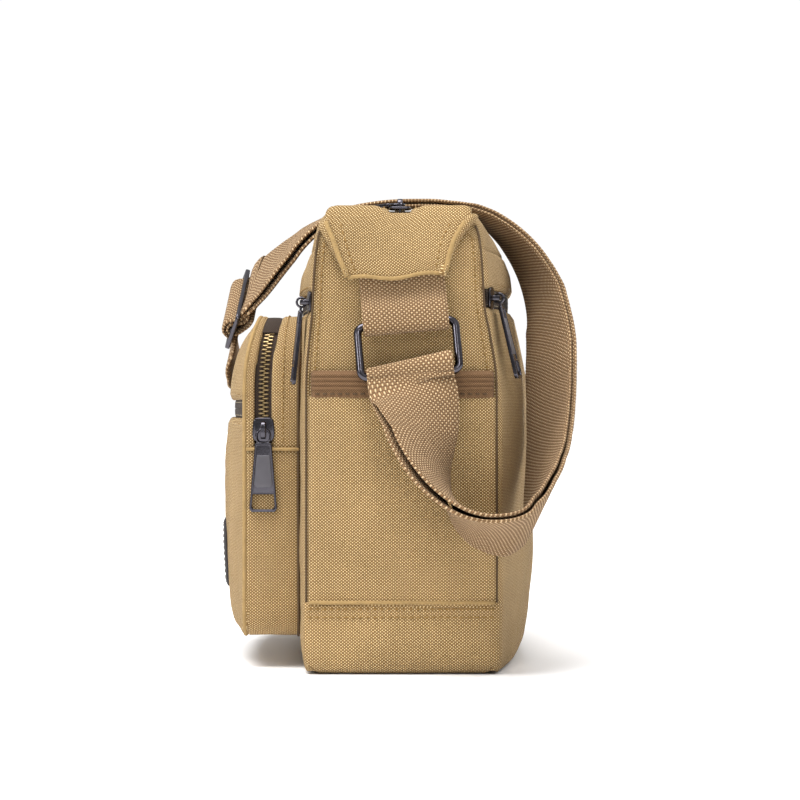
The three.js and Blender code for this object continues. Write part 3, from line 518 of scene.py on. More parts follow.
def frames_along(line, hint=V(0, 0, 1), closed=False):
    """Steadily turning frames along a line, for round sections."""
    result = []
    side = hint
    for i, o in enumerate(line):
        after = line[(i + 1) % len(line)] if closed or i + 1 < len(line) else o
        before = line[i - 1] if closed or i else o
        tangent = (after - before).normalized()
        side = side - tangent * side.dot(tangent)
        side = side.normalized() if side.length > 1e-3 else tangent.orthogonal().normalized()
        result.append((o, side, tangent.cross(side)))
    return result


def circle(radius, sides=10):
    angles = [2 * math.pi * k / sides for k in range(sides)]
    return [(radius * math.cos(a), radius * math.sin(a)) for a in angles]


def tube(name, line, radius, material=FOLD, closed=False):
    return gather(name, [sweep(frames_along(line, closed=closed), circle(radius), closed)], material)


def stitches(name, line, outward, material=THREAD, pitch=3.2, length=2.3, radius=0.4, **facts):
    """A row of stitches along a line. outward is a direction, or gives one for a point."""
    parts = []
    spots = resample(line, pitch)
    for a, b in zip(spots, spots[1:]):
        up = (outward(a) if callable(outward) else outward).normalized()
        end = a.lerp(b, length / pitch)
        side = (end - a).cross(up).normalized()
        bead = [(a.lerp(end, share) + up * radius * rise, side * width, up * width)
                for share, width, rise in ((0, 0.3, -0.6), (0.2, 0.9, 0), (0.8, 0.9, 0), (1, 0.3, -0.6))]
        parts.append(sweep(bead, circle(radius, 6)))
    return gather(name, parts, material, sharp=80, **facts)


def plate(outline, half, bevel, holes=()):
    """A flat plate with rounded edges in the local XY plane, from z = -half to half."""
    curve = bpy.data.curves.new("outline", "CURVE")
    curve.dimensions = "2D"
    curve.fill_mode = "BOTH"
    curve.extrude = half - bevel
    curve.bevel_depth = bevel
    curve.bevel_resolution = 2
    curve.offset = -bevel
    for ring in (outline, *holes):
        spline = curve.splines.new("POLY")
        spline.points.add(len(ring) - 1)
        for point, (x, y) in zip(spline.points, ring):
            point.co = (x, y, 0, 1)
        spline.use_cyclic_u = True
    holder = bpy.data.objects.new("outline", curve)
    mesh = bpy.data.meshes.new_from_object(holder)
    solid = bmesh.new()
    solid.from_mesh(mesh)
    bmesh.ops.remove_doubles(solid, verts=solid.verts, dist=1e-5)
    points = [v.co.copy() for v in solid.verts]
    faces = [tuple(v.index for v in face.verts) for face in solid.faces]
    solid.free()
    bpy.data.objects.remove(holder)
    bpy.data.meshes.remove(mesh)
    return points, faces


def moved(part, matrix):
    return ([matrix @ p for p in part[0]], *part[1:])


def basis(x, y, z, origin):
    """The matrix that takes local X, Y and Z to these directions at this place."""
    matrix = Matrix((x, y, z)).transposed().to_4x4()
    matrix.translation = origin
    return matrix


def rounded(half_width, half_height, radius, steps=6):
    points = []
    for quarter, (sx, sy) in enumerate(((1, 1), (-1, 1), (-1, -1), (1, -1))):
        for k in range(steps + 1):
            angle = math.pi / 2 * (quarter + k / steps)
            points.append((sx * (half_width - radius) + radius * math.cos(angle),
                           sy * (half_height - radius) + radius * math.sin(angle)))
    return points


def softened(outline, radius, steps=4):
    """An outline whose corners are rounded by up to radius."""
    points = []
    corners = [Vector(p) for p in outline]
    for i, corner in enumerate(corners):
        before, after = corners[i - 1] - corner, corners[(i + 1) % len(corners)] - corner
        reach = min(radius, before.length / 2.1, after.length / 2.1)
        start, end = corner + before.normalized() * reach, corner + after.normalized() * reach
        for k in range(steps + 1):
            w = k / steps
            p = start * (1 - w) ** 2 + corner * 2 * w * (1 - w) + end * w ** 2
            points.append((p.x, p.y))
    return points


# ---------------- shoulder strap
# Doubled run from the near ring round the back and over the top to the adjuster, then the single
# run to the far ring. Each row has a place, the width's direction and, where the strap is doubled,
# half the spacing of its layers.
DOUBLED = (
    (143.2, 5.2, 125, -0.05, 0.98, 0.2, 3.6), (146.6, 6.8, 119.6, -0.34, 0.92, 0.2, 3.1),
    (150.5, 8.6, 110, -0.62, 0.76, 0.2, 2.7), (154.4, 9.8, 100, -0.8, 0.58, 0.17, 2.4),
    (157.4, 13, 89, -0.93, 0.35, 0.06, 2.2), (158.6, 19.6, 78, -0.98, 0.16, -0.1, 2),
    (157.6, 28.6, 69.4, -0.94, 0.08, -0.29, 1.9), (154.6, 38.4, 65, -0.92, 0.07, -0.38, 1.8),
    (148.6, 48.6, 64.6, -0.92, 0.08, -0.38, 1.8), (139, 57, 69.4, -0.96, 0.04, -0.26, 1.7),
    (127.6, 62, 77.4, -0.98, -0.1, -0.14, 1.6), (114.5, 65, 88.2, -0.96, -0.25, -0.08, 1.5),
    (100.5, 67.2, 103, -0.94, -0.34, -0.04, 1.4), (88, 68.4, 120, -0.91, -0.4, 0, 1.4),
    (77, 68.8, 138, -0.9, -0.44, 0, 1.4), (66, 68, 154, -0.92, -0.38, -0.03, 1.4),
    (55.5, 65.8, 168.5, -0.94, -0.32, -0.05, 1.3), (45, 59.2, 184, -0.96, -0.26, -0.05, 1.2),
    (35.5, 48.6, 197.7, -0.98, -0.19, -0.02, 1.2), (28, 36.2, 207, -0.99, -0.1, 0, 1.2),
    (23, 20.6, 212, -1, -0.05, 0.03, 1.2), (20.4, 4.4, 213.4, -1, -0.01, 0.05, 1.2),
    (19.6, -12, 212.2, -1, 0, 0.05, 1.3), (19, -28.6, 208.4, -1, 0, 0.06, 1.4),
    (17, -43, 199.6, -0.98, -0.02, 0.15, 1.6), (12, -53, 190.2, -0.95, 0, 0.3, 1.7),
    (4.6, -62.2, 181.6, -0.88, 0.03, 0.47, 1.7), (-1.6, -69, 175.8, -0.82, 0.06, 0.56, 1.5),
)
SINGLE = (
    (-27.5, -82.6, 148.6, -0.72, 0.05, 0.69), (-40, -84, 145, -0.5, 0.03, 0.86),
    (-57, -84.6, 144.6, -0.32, 0, 0.95), (-76, -85, 144.8, -0.34, 0, 0.94),
    (-93, -85.4, 142.4, -0.46, 0, 0.89), (-109, -84.2, 135, -0.6, -0.1, 0.79),
    (-123, -79.6, 121, -0.72, -0.14, 0.68), (-135, -71, 104, -0.82, -0.2, 0.53),
    (-145, -58, 88, -0.9, -0.2, 0.38), (-151.6, -42, 78, -0.96, -0.16, 0.2),
    (-154.6, -26, 74.5, -0.98, 0.05, 0.05),
    (-155.2, -12, 79, -0.93, 0.3, -0.16), (-153.4, -3, 90, -0.76, 0.62, -0.14),
    (-150, 1.6, 103, -0.45, 0.88, -0.04), (-147.4, 3.6, 115, -0.15, 0.99, 0.04),
    (-146, 4.4, 124, 0, 1, 0.08),
)
ADJUSTER_AT = V(-13.3, -79.4, 164.6)
ADJUSTER_ALONG = V(-0.572, -0.312, -0.759).normalized()
ADJUSTER_WIDTH = V(-0.81, 0.07, 0.58)
ADJUSTER_NORMAL = ADJUSTER_ALONG.cross(ADJUSTER_WIDTH).normalized()
ADJUSTER_ACROSS = ADJUSTER_NORMAL.cross(ADJUSTER_ALONG).normalized()
# The strap's weave through the adjuster, as (along, towards the inner face).
MAIN_WEAVE = ((-13, 2.4), (-8, 2.5), (-6.6, 1.6), (-3.6, -3.5), (-1.9, -4.5), (1.9, -4.5), (3.6, -3.5),
              (6.6, 1.6), (8, 2.7), (11, 3.4), (15, 3.8))
RETURN_WEAVE = ((-13, 4.9), (-8, 4.8), (-5.4, 3.6), (-2.9, -0.5), (-2.5, -1.6), (-1.5, -2.4), (1.5, -2.4),
                (2.5, -1.4), (2.5, 1.4), (1.2, 3), (-1.6, 4.8), (-5, 6.6), (-8, 7.2))

BAR_DROP = RING_INSIDE[1] + WIRE
BAR_AT = V(RING_TOP[0] + BAR_DROP * math.sin(RING_LEAN),
           RING_TOP[1] + BAR_DROP * math.cos(RING_LEAN) * math.sin(TAB_TILT),
           RING_TOP[2] - BAR_DROP * math.cos(RING_LEAN) * math.cos(TAB_TILT))
BAR_WIDTH = V(0, math.cos(TAB_TILT), math.sin(TAB_TILT))
LOOP_TILT, LOOP_RISE = TAB_TILT + math.radians(8), 2.6
LOOP_WIDTH = V(0, math.cos(LOOP_TILT), math.sin(LOOP_TILT))
FAR_BAR = V(-BAR_AT.x, BAR_AT.y, BAR_AT.z)
WRAP = WIRE / 2 + 0.5 + WEBBING_THICKNESS / 2
STRAP_BLEND = 0.036      # metres over which a strap's turn with its ring fades out


def smooth_route(stations, steps):
    places, widths = [s[0] for s in stations], [s[1] for s in stations]
    return [(catmull(places, i / steps), catmull(widths, i / steps).normalized()) for i in range(steps + 1)]


def layer(side):
    """The doubled run's layer towards (+) or away from (-) its inner face."""
    stations = []
    for i, row in enumerate(DOUBLED):
        before, after = DOUBLED[max(i - 1, 0)], DOUBLED[min(i + 1, len(DOUBLED) - 1)]
        width = V(*row[3:6]).normalized()
        inner = (V(*after[:3]) - V(*before[:3])).cross(width).normalized()
        stations.append((V(*row[:3]) + inner * side * row[6], width))
    return stations


def bar_wrap(bar, sign, start, end, steps):
    """Turn over a ring's lower bar, from the outside to the bag's side, straight below it."""
    up = -BAR_WIDTH.cross(V(1, 0, 0))
    turn = []
    for i in range(steps + 1):
        angle = start + (end - start) * i / steps
        bend = min(max(angle, 0), math.pi)
        rise = LOOP_RISE + WRAP * (math.sin(bend) - abs(angle - bend))
        turn.append((bar + V(sign * WRAP * math.cos(bend), 0, 0) + up * rise, LOOP_WIDTH))
    return turn


def woven_through(points):
    return [(ADJUSTER_AT + ADJUSTER_ALONG * t + ADJUSTER_NORMAL * n, ADJUSTER_ACROSS) for t, n in points]


def ribbon(stations, start=0.0, end=None, step=1.1, half=WEBBING_WIDTH / 2, thick=WEBBING_THICKNESS / 2):
    """A strap through (place, width direction) stations, between two lengths along it."""
    fine = smooth_route(stations, 8 * (len(stations) - 1))
    run = lengths_along([o for o, w in fine])
    end = run[-1] if end is None else end
    count = round((end - start) / step)
    line = []
    for i in range(count + 1):
        target = start + (end - start) * i / count
        k, share = span_at(run, target)
        line.append([fine[k][j].lerp(fine[k + 1][j], share) for j in (0, 1)] + [target])
    rings = []
    for i, (o, w, target) in enumerate(line):
        along = (line[min(i + 1, count)][0] - line[max(i - 1, 0)][0]).normalized()
        a = along.cross(w).normalized()
        rings.append((o, a, a.cross(along).normalized(), 1 - 0.012 * abs(math.sin(target * math.pi / 2.2))))
    section = ((-0.97, 0.8), (-0.9, 1), (-0.45, 0.96), (0, 0.94), (0.45, 0.96), (0.9, 1), (0.97, 0.8))
    top = [(thick * lift, b * half) for b, lift in section]
    profile = top + [(0, half)] + [(-a, b) for a, b in reversed(top)] + [(0, -half)]
    points, faces, weave = sweep(rings, profile)
    weave = [(u, v + start) for u, v in weave]
    return points, faces, weave, [o for o, w, target in line]


def in_frame(line):
    return [(p.x * MM, (p.y + SHIFT_Y) * MM, p.z * MM) for p in line]


def metres_along(line):
    return round(sum((b - a).length for a, b in zip(line, line[1:])) * MM, 3)


def ring_blend(side):
    """The blend that lets a strap's end turn with its ring, towards the bag below it."""
    ring = "ring_right" if side > 0 else "ring_left"
    start = V(side * BAR_AT.x * MM, (BAR_AT.y + SHIFT_Y) * MM, BAR_AT.z * MM)
    return ring, "bag", start, start + V(-side * 0.894, 0, -0.447) * STRAP_BLEND


MAIN_STATIONS = (
    bar_wrap(BAR_AT, 1, -0.8, math.pi + 0.3, 10) + smooth_route(layer(-1), 60) + woven_through(MAIN_WEAVE)
    + smooth_route([(V(*row[:3]), V(*row[3:]).normalized()) for row in SINGLE], 30)
    + bar_wrap(FAR_BAR, -1, -0.3, math.pi + 0.35, 8)
    + [(FAR_BAR + V(*step), BAR_WIDTH) for step in ((2.6, 0.5, -10), (0.6, 1, -20), (-1, 1.4, -30))]
)
RETURN_STATIONS = (
    bar_wrap(BAR_AT, 1, -0.8, -0.9, 1) + smooth_route(layer(1), 60) + woven_through(RETURN_WEAVE)
)
FAR_LOOP = 84            # length of the far loop, whose turn over the bar is in its middle

def strap(name, made, side, **facts):
    """A length of webbing that turns with the ring on this side."""
    return piece(name, *made[:2], WEBBING, weave=made[2], slot="webbing", sharp=50,
                 blend=ring_blend(side), **facts)


main_length = lengths_along([o for o, w in smooth_route(MAIN_STATIONS, 8 * (len(MAIN_STATIONS) - 1))])[-1]
*main_part, main_line = ribbon(MAIN_STATIONS, end=main_length - FAR_LOOP)
*return_part, return_line = ribbon(RETURN_STATIONS)
strap_main = strap("strap_main_webbing", main_part, 1, replaces=["strap_main"])
far_loop = strap("strap_far_loop", ribbon(MAIN_STATIONS, start=main_length - FAR_LOOP), -1)
strap_return = strap("strap_return_webbing", return_part, 1, replaces=["strap_return"])

slot_outline = rounded(19.6, 3.35, 1)
frame_plate = plate(rounded(22.4, 10.4, 3), 1.1, 0.5,
                    [[(x, y + centre) for x, y in slot_outline] for centre in (4.55, -4.55)])
middle_bar = plate(rounded(19.8, 1.2, 0.6), 1.35, 0.4)
turn = basis(ADJUSTER_ACROSS, ADJUSTER_ALONG, ADJUSTER_ACROSS.cross(ADJUSTER_ALONG), ADJUSTER_AT)
adjuster = gather("adjuster_frame", [moved(frame_plate, turn), moved(middle_bar, turn)], GUNMETAL,
                  slot="gunmetal", replaces=["strap_adjuster"], sharp=35)

for cord, line, extra in ((strap_main, main_line, {"with_pieces": [far_loop, adjuster]}),
                          (strap_return, return_line, {})):
    path = in_frame(line)
    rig.cord(cord, exit=path[0], length=metres_along(line), diameter=WEBBING_WIDTH * MM, far_end="object",
            stiffness="medium", lay="hanging", path=path, **extra)


# ---------------- bag shell
INSIDE = V(0, 0, 100)
# Wall sections as (height, depth at the ends, depth at mid-length).
FRONT_LOWER = ((0.5, 38.4, 40.6), (1.5, 41, 43.6), (6, 42.2, 46), (14, 42.4, 47.4), (35, 42.4, 48),
               (75, 42.4, 48.4), (115, 42.4, 48.4), (132, 42.2, 48.3), (146, 41, 48.2), (158.4, 39.7, 47.9))
FRONT_UPPER = ((167.6, 39.4, 48.4), (178, 38.8, 46.4), (186.6, 37.6, 42.4))
BACK_LOWER = ((0.5, 40, 51.4), (1.5, 42.8, 55), (6, 43.8, 58.2), (14, 44.1, 60.2), (24, 44.1, 61.6),
              (42, 44.1, 63.3), (72, 44.1, 64.3), (100, 44.1, 63.6), (120, 43.8, 62), (135, 42.3, 59.6),
              (147, 40.2, 57), (160.4, 38.1, 54.2))
BACK_UPPER = ((169.6, 38, 54), (179, 37.8, 52.4), (186.6, 36.8, 49.6))
# Yoke sections as (height, depth at the ends, depth at mid-length), zip side first.
FRONT_YOKE = ((204.8, 5, 5), (205.3, 18, 18), (204, 29, 28), (200.4, 34.4, 33.6), (194, 36.8, 38.4),
              (186.2, 37.7, 42.6))
BACK_YOKE = ((204.8, 5, 5), (205.3, 18, 18), (204, 28, 30), (200.4, 33.4, 37.6), (194, 36, 44.4),
             (186.2, 36.9, 49.8))


def evened(surface, steps=240):
    """The same surface with t at an even pace along its middle."""
    run = lengths_along([surface(0.5, i / steps) for i in range(steps + 1)])

    def even(s, t):
        k, share = span_at(run, run[-1] * t)
        return surface(s, (k + share) / steps)
    return even


def wall(rows, side, reach=HALF_LENGTH, turn_down=0.0):
    """A wall between its rows. turn_down is how far its upper corners fall at the ends."""
    def surface(s, t):
        z, end, middle = row_at(rows, t)
        x = (2 * s - 1) * reach
        fall = (max(0.0, abs(x) - reach + 12) / 12) ** 2 * turn_down * max(0.0, z - SHOULDER_Z) / 21
        depth = end + (middle - end) * (1 - (x / HALF_LENGTH) ** 2)
        return V(x, side * (depth - fall * 0.25), z - fall)
    return evened(surface)


def front_depth(x, z):
    """Depth of the front wall's outer face behind the pocket."""
    i = max(k for k in range(len(FRONT_LOWER) - 1) if FRONT_LOWER[k][0] <= max(z, 0.6))
    low, high = FRONT_LOWER[i], FRONT_LOWER[i + 1]
    share = min(1.0, (z - low[0]) / (high[0] - low[0]))
    end, middle = (low[k] + (high[k] - low[k]) * share for k in (1, 2))
    return end + (middle - end) * (1 - (x / HALF_LENGTH) ** 2)


for node, rows, side, steps in (
        ("front_wall_lower", FRONT_LOWER, -1, 60), ("front_wall_upper", FRONT_UPPER, -1, 10),
        ("back_wall_lower", BACK_LOWER, 1, 64), ("back_wall_upper", BACK_UPPER, 1, 10)):
    panel_of(node, wall(rows, side), (96, steps), 2, INSIDE, edge=2.4, drop=1.1, size=1.1)
for node, rows, side in (("top_yoke_front", FRONT_YOKE, -1), ("top_yoke_back", BACK_YOKE, 1)):
    panel_of(node, wall(rows, side, 129.4, 9), (120, 30), 2, INSIDE, edge=2.4, drop=0.9, size=1.0)

# Base cloth: along the floor and turned up over both end panels.
BASE_PATH = ((132.3, 31.4), (132.4, 20), (132.3, 9), (131.2, 3.8), (128.4, 1), (124, 0.2), (90, 0.1),
             (40, 0))
BASE_PATH = BASE_PATH + tuple((-x, z) for x, z in reversed(BASE_PATH))


def base_surface(s, t):
    x, z, _ = row_at([(x, z, 0) for x, z in BASE_PATH], t)
    bow = max(0.0, 1 - (x / HALF_LENGTH) ** 2)
    rise = math.sqrt(1 - (1 - min(max(z, 0) / 9, 1)) ** 2)
    front = 35.4 + 1.2 * bow + 6.4 * rise
    back = 37 + 10 * bow + 6.4 * rise
    return V(x, -front + (front + back) * s, z)


cloth("base_cloth", evened(base_surface), (28, 150), 1.7, INSIDE, size=0.5, edge=2, drop=0.8,
      replaces=["base_panel"])

# End panel's sections as (height, front edge, back edge), and the end flap's as (x, height, front
# edge, back edge) from the top down.
PANEL_ROWS = ((5.6, -40.6, 41.9), (14, -41, 42.3), (35, -41, 42.3), (75, -41, 42.3), (115, -41, 42.2),
              (132, -40.8, 41.9), (147, -39.5, 39.6), (160, -38.2, 37), (172, -37.7, 36.2),
              (186, -36.5, 35.2), (194.5, -35, 33.8), (199.4, -32, 31), (202.8, -26, 25))
FLAP_ROWS = ((121.8, 205.8, -28.5, 29), (124.6, 204.9, -31, 31), (127.4, 201.6, -32.3, 31),
             (130.2, 196.4, -31.8, 27.4), (133, 189.4, -29, 23.4), (135.2, 181, -26, 21),
             (136.2, 173.8, -22.6, 19.6))


def panel_surface(s, t):
    z, front, back = row_at(PANEL_ROWS, t)
    lean = 7.2 * (max(0, z - SHOULDER_Z) / 19) ** 1.6
    return V(HALF_LENGTH + 1.1 * math.sin(math.pi * s) - lean, front + (back - front) * s, z)


def flap_surface(s, t):
    x, z, front = row_at([row[:3] for row in FLAP_ROWS], t)
    back = row_at([(row[3], 0, 0) for row in FLAP_ROWS], t)[0]
    wave = t ** 5 * (0.9 * math.sin(9 * s + 0.5) - 2.2 * (1 - s) + 1)
    y = front + (back - front) * s
    notch = 5 * math.exp(-(y / 7.6) ** 4) * (1 - t) ** 3
    return V(x + 0.7 * math.sin(math.pi * s) * t, y, z + wave - notch)


def slip_surface(y, z, proud):
    across = max(0.0, 1 - ((y - 1.5) / 40) ** 2)
    rise = min(1.0, max(0.0, (z - 36) / 80))
    return V(132 + proud + 5.6 * across * rise ** 1.4, y, z)


def slip_cloth(s, t):
    return slip_surface(-40 + 82 * s, 29.4 + 91.8 * t, 0)


def band_cloth(s, t):
    return slip_surface(-38.6 + 79.4 * s, 120.8 + 11.4 * t, 0.4)


def band_ribs(p, u, v):
    """Four ribs 2 mm apart above a flat stitched border."""
    border = 3.2
    if v > border:
        return 0.9 * abs(math.sin(math.pi * (v - border) / 2)) - 0.4
    return -0.3 * math.sin(math.pi * v / border)


def ear(near_low, near_high, far_low, far_high, swell, bow=0.0):
    """A folded ear of cloth between the flap's edge and the bag's upper corner. Its run bows along Y."""
    def surface(s, t):
        low, high = V(*near_low).lerp(V(*far_low), s), V(*near_high).lerp(V(*far_high), s)
        return low.lerp(high, t) + V(swell * math.sin(math.pi * s), bow * math.sin(math.pi * t), 0)
    return surface


FRONT_EAR = ear((136.4, -21.6, 173.6), (128.6, -30.6, 200.4), (135.4, -24.4, 174), (127, -37, 195.6), 2.8)
BACK_EAR = ear((136, 18.6, 174.4), (127.4, 29.4, 202.2), (134.8, 21, 174.6), (126.4, 35.2, 200), 3.4, -2.4)


def at_end(surface, side):
    """The same surface at the +X end, or mirrored at the other."""
    def placed(s, t):
        p = surface(s, t)
        return V(side * p.x, p.y, p.z)
    return placed


def edge_line(surface, fixed, values, along_t=True, out=0.0):
    """A line on a surface where s or t is fixed, moved out along X."""
    line = [surface(fixed, v) if along_t else surface(v, fixed) for v in values]
    return [p + V(math.copysign(out, p.x), 0, 0) for p in line]


def spread(low, high, steps):
    return [low + (high - low) * i / steps for i in range(steps + 1)]


tilt_about_ring = Matrix.Translation(V(*RING_TOP)) @ Matrix.Rotation(TAB_TILT, 4, "X")
TAB_LOOP = WIRE / 2 + 0.9 + WEBBING_THICKNESS / 2
tab_path = [(-3.5, 30.6), (-3.5, 18.6), (-2.2, 12.6), (2.6, 6.4)]
tab_path += [(TAB_LOOP * math.cos(a), TAB_LOOP * math.sin(a)) for a in spread(0.25, -math.pi - 0.25, 8)]
tab_path += [(-3.1, 6.4), (-5, 12.6), (-5.5, 18.6), (-5.5, 30.6)]
tab_stations = [(V(x, 0, z), V(0, 1, 0)) for x, z in tab_path]
tab_part = moved(ribbon(tab_stations, half=18.8, thick=0.8)[:3], tilt_about_ring)
RING_HALF = ((RING_INSIDE[0] + WIRE) / 2, BAR_DROP / 2)
ring_path = [V(x, 0, z - RING_HALF[1]) for x, z in rounded(*RING_HALF, 3.4, 8)]
ring_place = tilt_about_ring @ Matrix.Rotation(-RING_LEAN, 4, "Y") @ Matrix.Rotation(math.pi / 2, 4, "Z")
ring_loop = sweep(frames_along(ring_path, V(0, 1, 0), True), circle(WIRE / 2, 18), True)
ring_part = moved(ring_loop[:2], ring_place)

for end, side in ENDS:
    inside, flap_inside = V(side * 100, 0, 100), V(side * 100, 0, 150)
    panel_of(f"end_panel_{end}", at_end(evened(panel_surface), side), (34, 80), 2, inside, size=1.3,
             edge=2.6, drop=1.2)
    panel_of(f"slip_pocket_{end}", at_end(slip_cloth, side), (40, 44), 1.5, inside, size=1.2, edge=2.4,
             drop=1.2, sinks=(0, 0, 1, 1))
    band = at_end(band_cloth, side)
    cloth(f"pocket_band_{end}_ribs", band, (48, 60), 1.9, inside, BAND, size=0.3, edge=0.8, drop=0.6,
          relief=band_ribs, slot="grosgrain", replaces=[f"pocket_band_{end}"])
    stitches(f"pocket_band_{end}_stitches", edge_line(band, 0.16, spread(0.02, 0.98, 30), False, 0.3),
             V(side, 0, 0), DARK_THREAD_AND_SHADE, 3.4, 2.2, 0.4, slot="grosgrain")
    flap = at_end(evened(flap_surface), side)
    panel_of(f"end_flap_{end}", flap, (34, 46), 1.5, flap_inside, size=0.9, edge=1.2, drop=0.4)
    for edge, s in (("front", 0), ("back", 1)):
        tube(f"end_flap_{end}_{edge}_roll", edge_line(flap, s, spread(0.3, 1, 24), out=-0.5), 1.2)
        stitches(f"end_flap_{end}_{edge}_stitches", edge_line(flap, 0.1 + 0.8 * s, spread(0.32, 0.95, 24)),
                 V(side, 0, 0.3))
    tube(f"end_flap_{end}_hem", edge_line(flap, 1, spread(0, 1, 24), False, -0.3), 0.9)
    for name, fold, rows in (("front", FRONT_EAR, 24), ("back", BACK_EAR, 14)):
        cloth(f"corner_fold_{end}_{name}", at_end(fold, side), (10, rows), 1.2, flap_inside, size=0.5)
    tube(f"base_{end}_ridge", [V(side * 132.2, y, 31.6) for y in spread(-39.8, 41.4, 20)], 0.9)
    for row, z in (("upper", 28.8), ("lower", 25.2)):
        stitches(f"base_{end}_{row}_stitches", [V(side * 132.6, y, z) for y in spread(-40.6, 42, 20)],
                 V(side, 0, 0))
    panel = at_end(panel_surface, side)
    for edge, s in (("front", 0), ("back", 1)):
        stitches(f"end_panel_{end}_{edge}_stitches",
                 edge_line(panel, 0.045 + 0.91 * s, spread(0.06, 0.97, 60), out=0.25), V(side, 0, 0))
        # A thin dark tube sunk along each edge of the end panel: painted shade in the seam's crease.
        tube(f"end_panel_{end}_{edge}_crease", edge_line(panel, s, spread(0.02, 0.86, 60), out=-0.7), 0.5,
             DARK_THREAD_AND_SHADE)
    mirror = Matrix.Diagonal((side, 1, 1, 1))
    gather(f"webbing_tab_{end}_strap", [moved(tab_part, mirror)], WEBBING, slot="webbing",
           replaces=[f"webbing_tab_{end}"], sharp=50)
    gather(f"ring_{end}_wire", [moved(ring_part, mirror)], GUNMETAL, body=f"ring_{end}", slot="gunmetal",
           replaces=[f"ring_{end}"])


# ---------------- front pocket
FACE_LOWER = ((14.7, 2.4), (15.4, 5.8), (17, 8.6), (22, 10.4), (32, 12), (52, 13.3), (75, 13.8), (96, 13.4),
              (111.4, 12.4))
FACE_UPPER = ((120.6, 11.8), (134, 10.6), (143, 9.2), (150, 6.6), (155, 3), (157.6, 0.4))
SEAM_Z = 98


def pocket_half(z):
    if z > POCKET_TOP - POCKET_CORNER:
        rise = z - POCKET_TOP + POCKET_CORNER
        return POCKET_HALF - POCKET_CORNER + math.sqrt(max(0.0, POCKET_CORNER ** 2 - rise ** 2))
    drop = max(0.0, 2 * POCKET_FOOT_CORNER - z)
    return POCKET_HALF - POCKET_FOOT_CORNER + math.sqrt(max(0.0, POCKET_FOOT_CORNER ** 2 - drop ** 2))


def face_depth(bulge, x):
    return POCKET_SEAM_Y - 0.3 + bulge * (1 - (x / POCKET_HALF) ** 2)


def settle(z):
    """How far the pocket's soft front edge has sunk back towards the bag at this height."""
    return 6.5 * (max(0.0, z - 122) / 36) ** 2.2


def pocket_face(rows):
    def surface(s, t):
        z, bulge, _ = row_at([(*row, 0) for row in rows], t)
        x = (2 * s - 1) * pocket_half(z)
        return V(x, settle(z) - face_depth(bulge, x), z)
    return evened(surface)


def half_turned(inset, corner, centre_z, foot, turn):
    """A U of the pocket's outline: up or down from one foot, round two corners, to the other foot."""
    near = [V(POCKET_HALF - inset, 0, foot)]
    for a in spread(0, turn, 14):
        near.append(V(POCKET_HALF - corner + (corner - inset) * math.cos(a), 0,
                      centre_z + (corner - inset) * math.sin(a)))
    return resample(near + [V(-p.x, 0, p.z) for p in reversed(near)], 1.5)


def arch(inset, foot):
    return half_turned(inset, POCKET_CORNER, POCKET_TOP - POCKET_CORNER, foot, math.pi / 2)


def under(inset):
    return half_turned(inset, POCKET_FOOT_CORNER, 2 * POCKET_FOOT_CORNER, SEAM_Z, -math.pi / 2)


def strip(path, front, back):
    """A band along a path, between two depths that may depend on the place."""
    def surface(s, t):
        place = t * (len(path) - 1)
        i = min(int(place), len(path) - 2)
        p = path[i].lerp(path[i + 1], place - i)
        y0, y1 = front(p), back(p)
        return V(p.x, -(y0 + (y1 - y0) * s), p.z)
    return surface


def at_wall(p):
    return front_depth(p.x, p.z) - 0.4


def around(p):
    """Direction away from the pocket's side at a point of its outline."""
    across = math.copysign(max(0, abs(p.x) - POCKET_HALF + POCKET_CORNER), p.x)
    up = max(0, p.z - POCKET_TOP + POCKET_CORNER) - max(0, 2 * POCKET_FOOT_CORNER - p.z)
    return V(across + p.x * 0.001, 0, up)


POCKET_INSIDE = V(0, -60, 85)
for node, rows, steps, size in (("pocket_face_lower", FACE_LOWER, 44, 1.3),
                                ("pocket_face_upper", FACE_UPPER, 20, 0.9)):
    panel_of(node, pocket_face(rows), (84, steps), 1.6, POCKET_INSIDE, size=size, edge=2.2, drop=1)
front_strip = strip(arch(0, SEAM_Z), lambda p: 69.2 - settle(p.z), lambda p: 64.9 - settle(p.z) * 0.75)
back_strip = strip(arch(0, SEAM_Z), lambda p: 56.9 - settle(p.z) * 0.6, at_wall)
base_strip = strip(under(0), lambda p: 69.2, at_wall)
for node, surface, steps, size, edge, drop in (
        ("pocket_gusset_front", front_strip, (5, 150), 0.5, 1.4, 0.6),
        ("pocket_gusset_back", back_strip, (8, 150), 0.8, 1.6, 0.7),
        ("pocket_gusset_base", base_strip, (16, 160), 1.2, 2, 0.8)):
    panel_of(node, surface, steps, 1.6, POCKET_INSIDE, size=size, edge=edge, drop=drop)
outline = arch(0.6, SEAM_Z) + list(reversed(under(0.6)))[1:-1]
tube("pocket_front_piping", [V(p.x, settle(p.z) - 69.4, p.z) for p in outline], 1, closed=True)
for end, side in ENDS:
    seam = [V(side * (POCKET_HALF + 0.1), y, SEAM_Z) for y in spread(-68.6, -45, 16)]
    tube(f"pocket_seam_{end}", seam, 0.9)
gusset_seam = [V(p.x, settle(p.z) * 0.3 - 52.2, p.z) for p in arch(-0.2, SEAM_Z + 3)]
stitches("pocket_gusset_stitches", gusset_seam, around)
# Dark tubes tucked into the corner where the gusset meets the wall: painted shade along the seam.
for part, line in (("", arch(-0.1, SEAM_Z)), ("_low", under(-0.1))):
    tube(f"pocket_wall_seam_painted_shade{part}", [V(p.x, -at_wall(p) - 1.3, p.z) for p in line], 0.6, DARK_THREAD_AND_SHADE)


